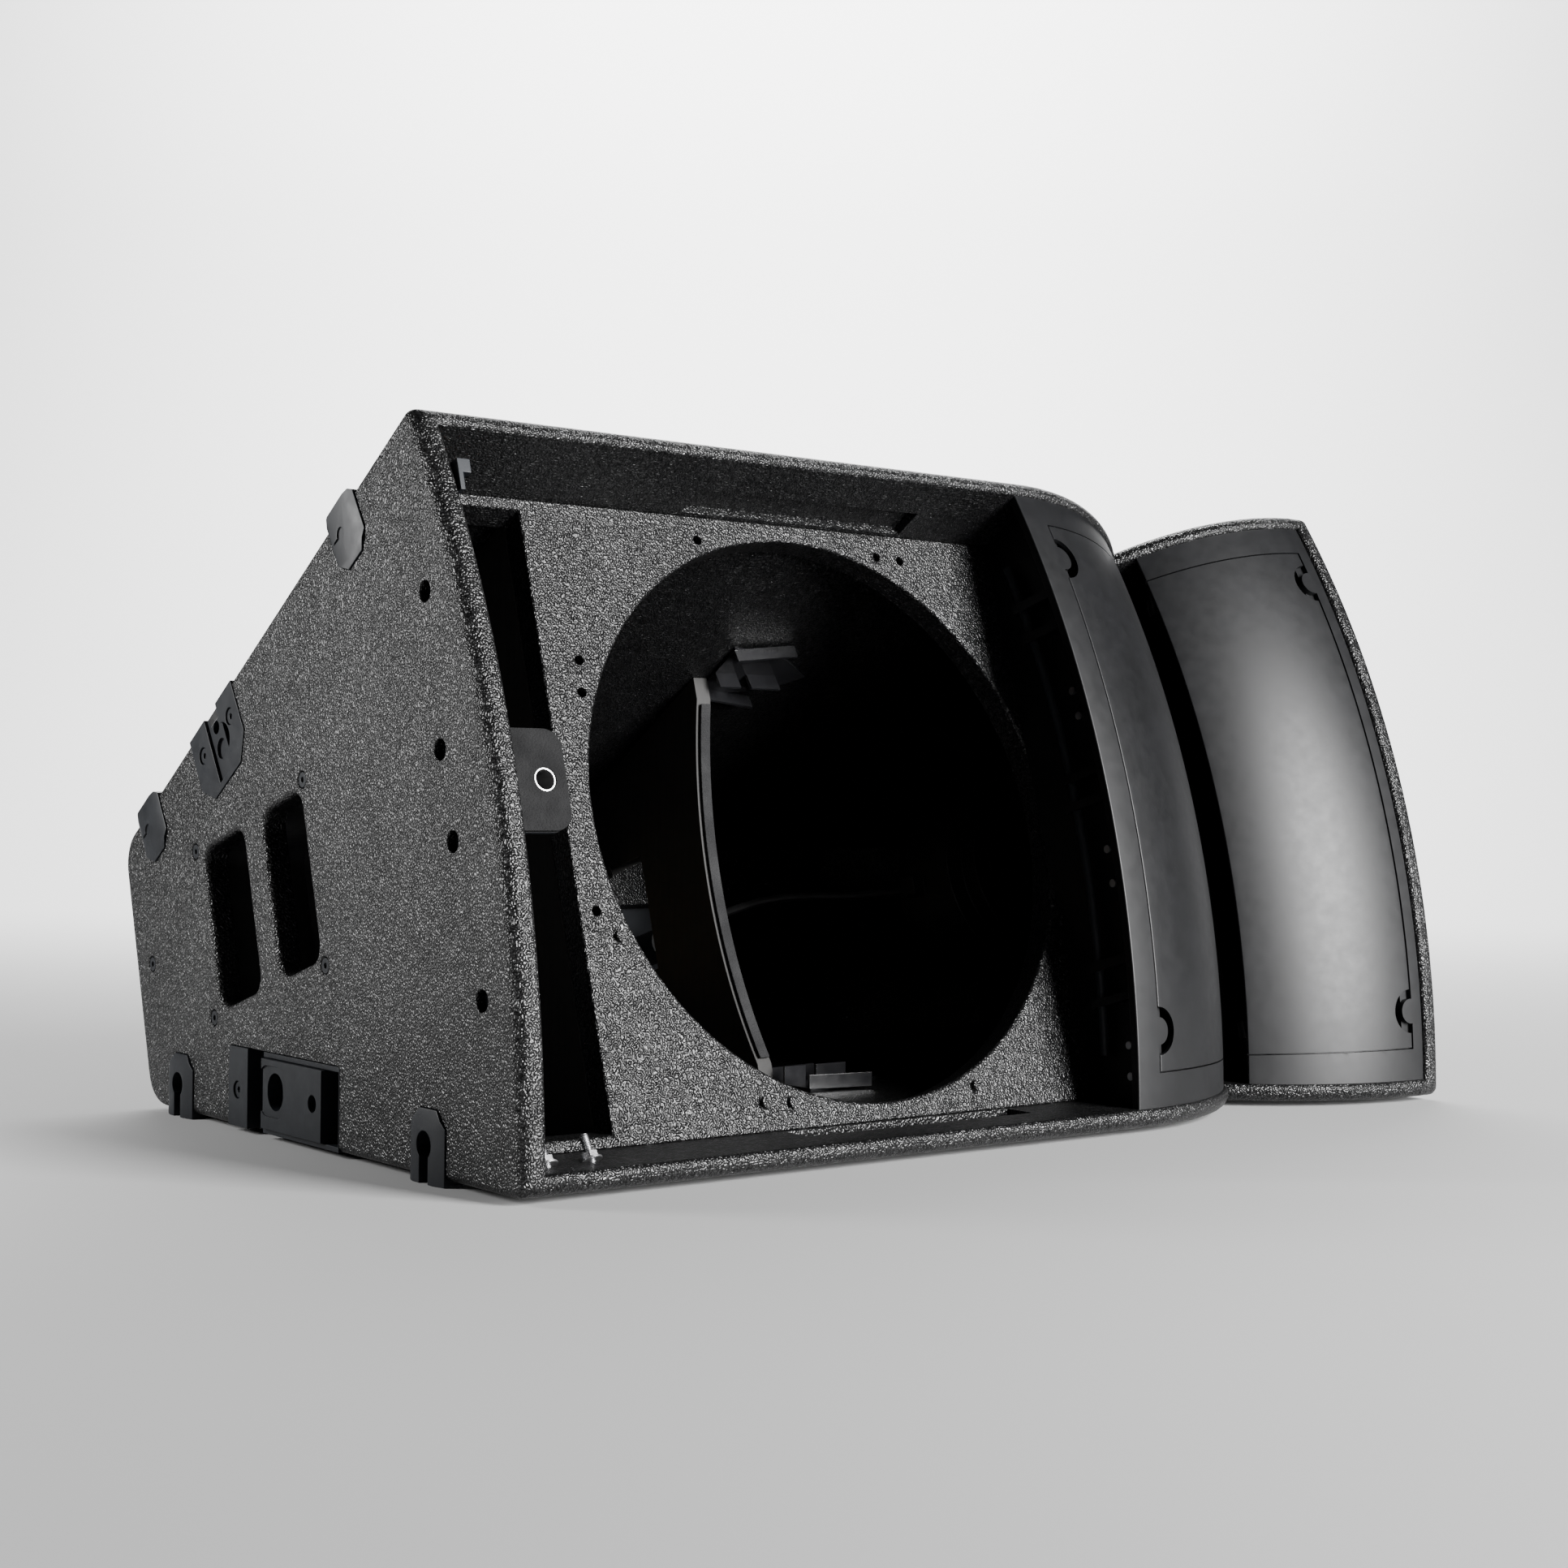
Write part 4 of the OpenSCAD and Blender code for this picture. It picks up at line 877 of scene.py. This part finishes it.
# The worn patch on a link, in mm: along the edge, out of the top face, out of the left side.
LINK_PATCH = (455.5, 466.5, -7.6, -1.6, -1.42, -1.25)


def top_box(r0, r1, y0, y1, z0, z1):
    """A box in the top edge's frame: along the edge, out of the top face, out of the left side."""
    return loft([[edge_pt(r0, -y0, -z, 1), edge_pt(r1, -y0, -z, 1), edge_pt(r1, -y1, -z, 1),
                  edge_pt(r0, -y1, -z, 1)] for z in (z0, z1)])


def build_link_patches():
    """Where each link's paint is worn through to bright steel."""
    shell = top_box(*LINK_PATCH)
    for tag, patch in (("left", shell), ("right", flipped(shell))):
        obj = mesh_object("link_patch_" + tag, *patch)
        soften(obj, 0.06, 1)
        dress(obj, CHROME, "link_" + tag)


# ---- Scene ----

FLOOR_NEAR, FLOOR_FLAT, FLOOR_HALF = -6.0, 0.5, 9.0
WALL_Y, WALL_R, WALL_TOP, WALL_HALF, WALL_FROM = 4.0, 1.6, 6.0, 2.5, 1.0
WALL_TURN = math.radians(-38.2)  # so that the wall faces the camera
FLOOR_GREY, WORLD_STRENGTH = 0.3, 0.05
# Name, place and target, size, in metres, and power in watts.
LIGHTS = (("side", (-1.05, 0.45, 0.45), (-0.37, -0.1, 0.25), (0.3, 0.4), 13),
          ("front", (0.55, -2.3, 0.8), (0.1, -0.1, 0.2), (0.9, 1.5), 340),
          ("backdrop", (1.48, 1.89, 2.7), (2.47, 3.14, 0.7), (3.0, 0.8), 1000))
CAMERA_PLACE = (-0.98415, -1.23389, 0.20471)
CAMERA_RIGHT = Vector((0.78576, -0.61845, 0.00977))
CAMERA_UP = Vector((-0.01147, 0.00121, 0.99994))
CAMERA_LENS, CAMERA_SENSOR = 53.41, 36.0


def build_stage(steps=16):
    """The floor, which turns up into a wall behind the part."""
    bm = bmesh.new()
    turns = [math.pi / 2 * i / steps for i in range(steps + 1)]
    profile = [(FLOOR_NEAR, 0.0), (FLOOR_FLAT, 0.0)]
    profile += [(WALL_Y - WALL_R + WALL_R * math.sin(t), WALL_R - WALL_R * math.cos(t))
                for t in turns]
    profile.append((WALL_Y, WALL_TOP))
    rings = [[bm.verts.new((side * (FLOOR_HALF if y < WALL_FROM else WALL_HALF), y, z))
              for y, z in profile] for side in (-1, 1)]
    for i in range(len(profile) - 1):
        bm.faces.new((rings[0][i], rings[1][i], rings[1][i + 1], rings[0][i + 1]))
    mesh = bpy.data.meshes.new("studio_floor")
    bm.to_mesh(mesh)
    bm.free()
    mesh.polygons.foreach_set("use_smooth", [True] * len(mesh.polygons))
    floor = bpy.data.objects.new("studio_floor", mesh)
    floor.rotation_euler = (0, 0, WALL_TURN)
    scene.collection.objects.link(floor)
    mat, _, shader = nodes_of("studio_white")
    shader.inputs["Base Color"].default_value = (FLOOR_GREY, FLOOR_GREY, FLOOR_GREY, 1)
    shader.inputs["Roughness"].default_value = 0.9
    mesh.materials.append(mat)


def build_light():
    """A dim even world and three soft area lights."""
    world = bpy.data.worlds.new("studio")
    scene.world = world
    world.use_nodes = True
    back = world.node_tree.nodes["Background"]
    back.inputs["Color"].default_value = (1, 1, 1, 1)
    back.inputs["Strength"].default_value = WORLD_STRENGTH
    for name, place, target, size, power in LIGHTS:
        light = bpy.data.lights.new(name, "AREA")
        light.shape, light.size, light.size_y, light.energy = "RECTANGLE", *size, power
        obj = bpy.data.objects.new(name, light)
        obj.location = place
        aim = Vector(target) - Vector(place)
        obj.rotation_euler = aim.to_track_quat("-Z", "Y").to_euler()
        obj.visible_camera = False
        scene.collection.objects.link(obj)


def build_camera():
    """The camera where the photograph was taken from."""
    back = CAMERA_RIGHT.cross(CAMERA_UP)
    turn = Matrix((CAMERA_RIGHT, CAMERA_UP, back)).transposed().to_4x4()
    cam = bpy.data.cameras.new("camera")
    cam.lens, cam.sensor_width = CAMERA_LENS, CAMERA_SENSOR
    obj = bpy.data.objects.new("camera", cam)
    obj.matrix_world = Matrix.Translation(CAMERA_PLACE) @ turn
    scene.collection.objects.link(obj)
    scene.camera = obj


build_cabinet()
build_baffle()
build_horn(-1, "left")
build_horn(1, "right")

for node in ("port_wall", "bay_divider", "shelf_braces"):
    refine(node, PLY, width=1.0)
for node in ("rail_clips", "pin_lugs", "waveguide", "sockets", "horn_wall"):
    refine(node, MOULDED, width=0.4)
refine("divider_brackets", GLOSS, width=0.4)
for tag in ("left", "right"):
    refine("handle_cup_" + tag, CUP, width=1.2, segments=3)
    refine("rig_plate_" + tag, BLACK_STEEL, width=0.6)
    refine("rig_frame_" + tag, BLACK_STEEL, width=0.6)
    refine("link_" + tag, BLACK_STEEL, body="link_" + tag, width=0.6)
    refine("latch_" + tag, BLACK_STEEL, body="latch_" + tag, width=0.6)
for node in ("feet_upper", "feet_lower", "grille_bracket", "lip_hook", "flange_rail", "rig_screws",
             "cup_screws", "side_screws", "connector_plate", "fin_pins"):
    refine(node, BLACK_STEEL, width=0.45)
for node in ("bracket_insert", "throat_screws", "driver_bolts", "plate_screws", "wall_screws"):
    refine(node, ZINC, width=0.25)
build_studs()
build_link_patches()
for node, foam, width in (("bracket_pad", FOAM, 0.8), ("edge_strip", STRIP, 0.8),
                          ("plate_gasket", FOAM, 0.2)):
    refine(node, foam, width=width)
refine("compression_driver", CASE, width=1.5, segments=3)
refine("crossover_board", BOARD, width=0.2)
refine("crossover_parts", WINDING, width=0.8)
refine("driver_lead", CABLE, width=0)

build_stage()
build_light()
build_camera()
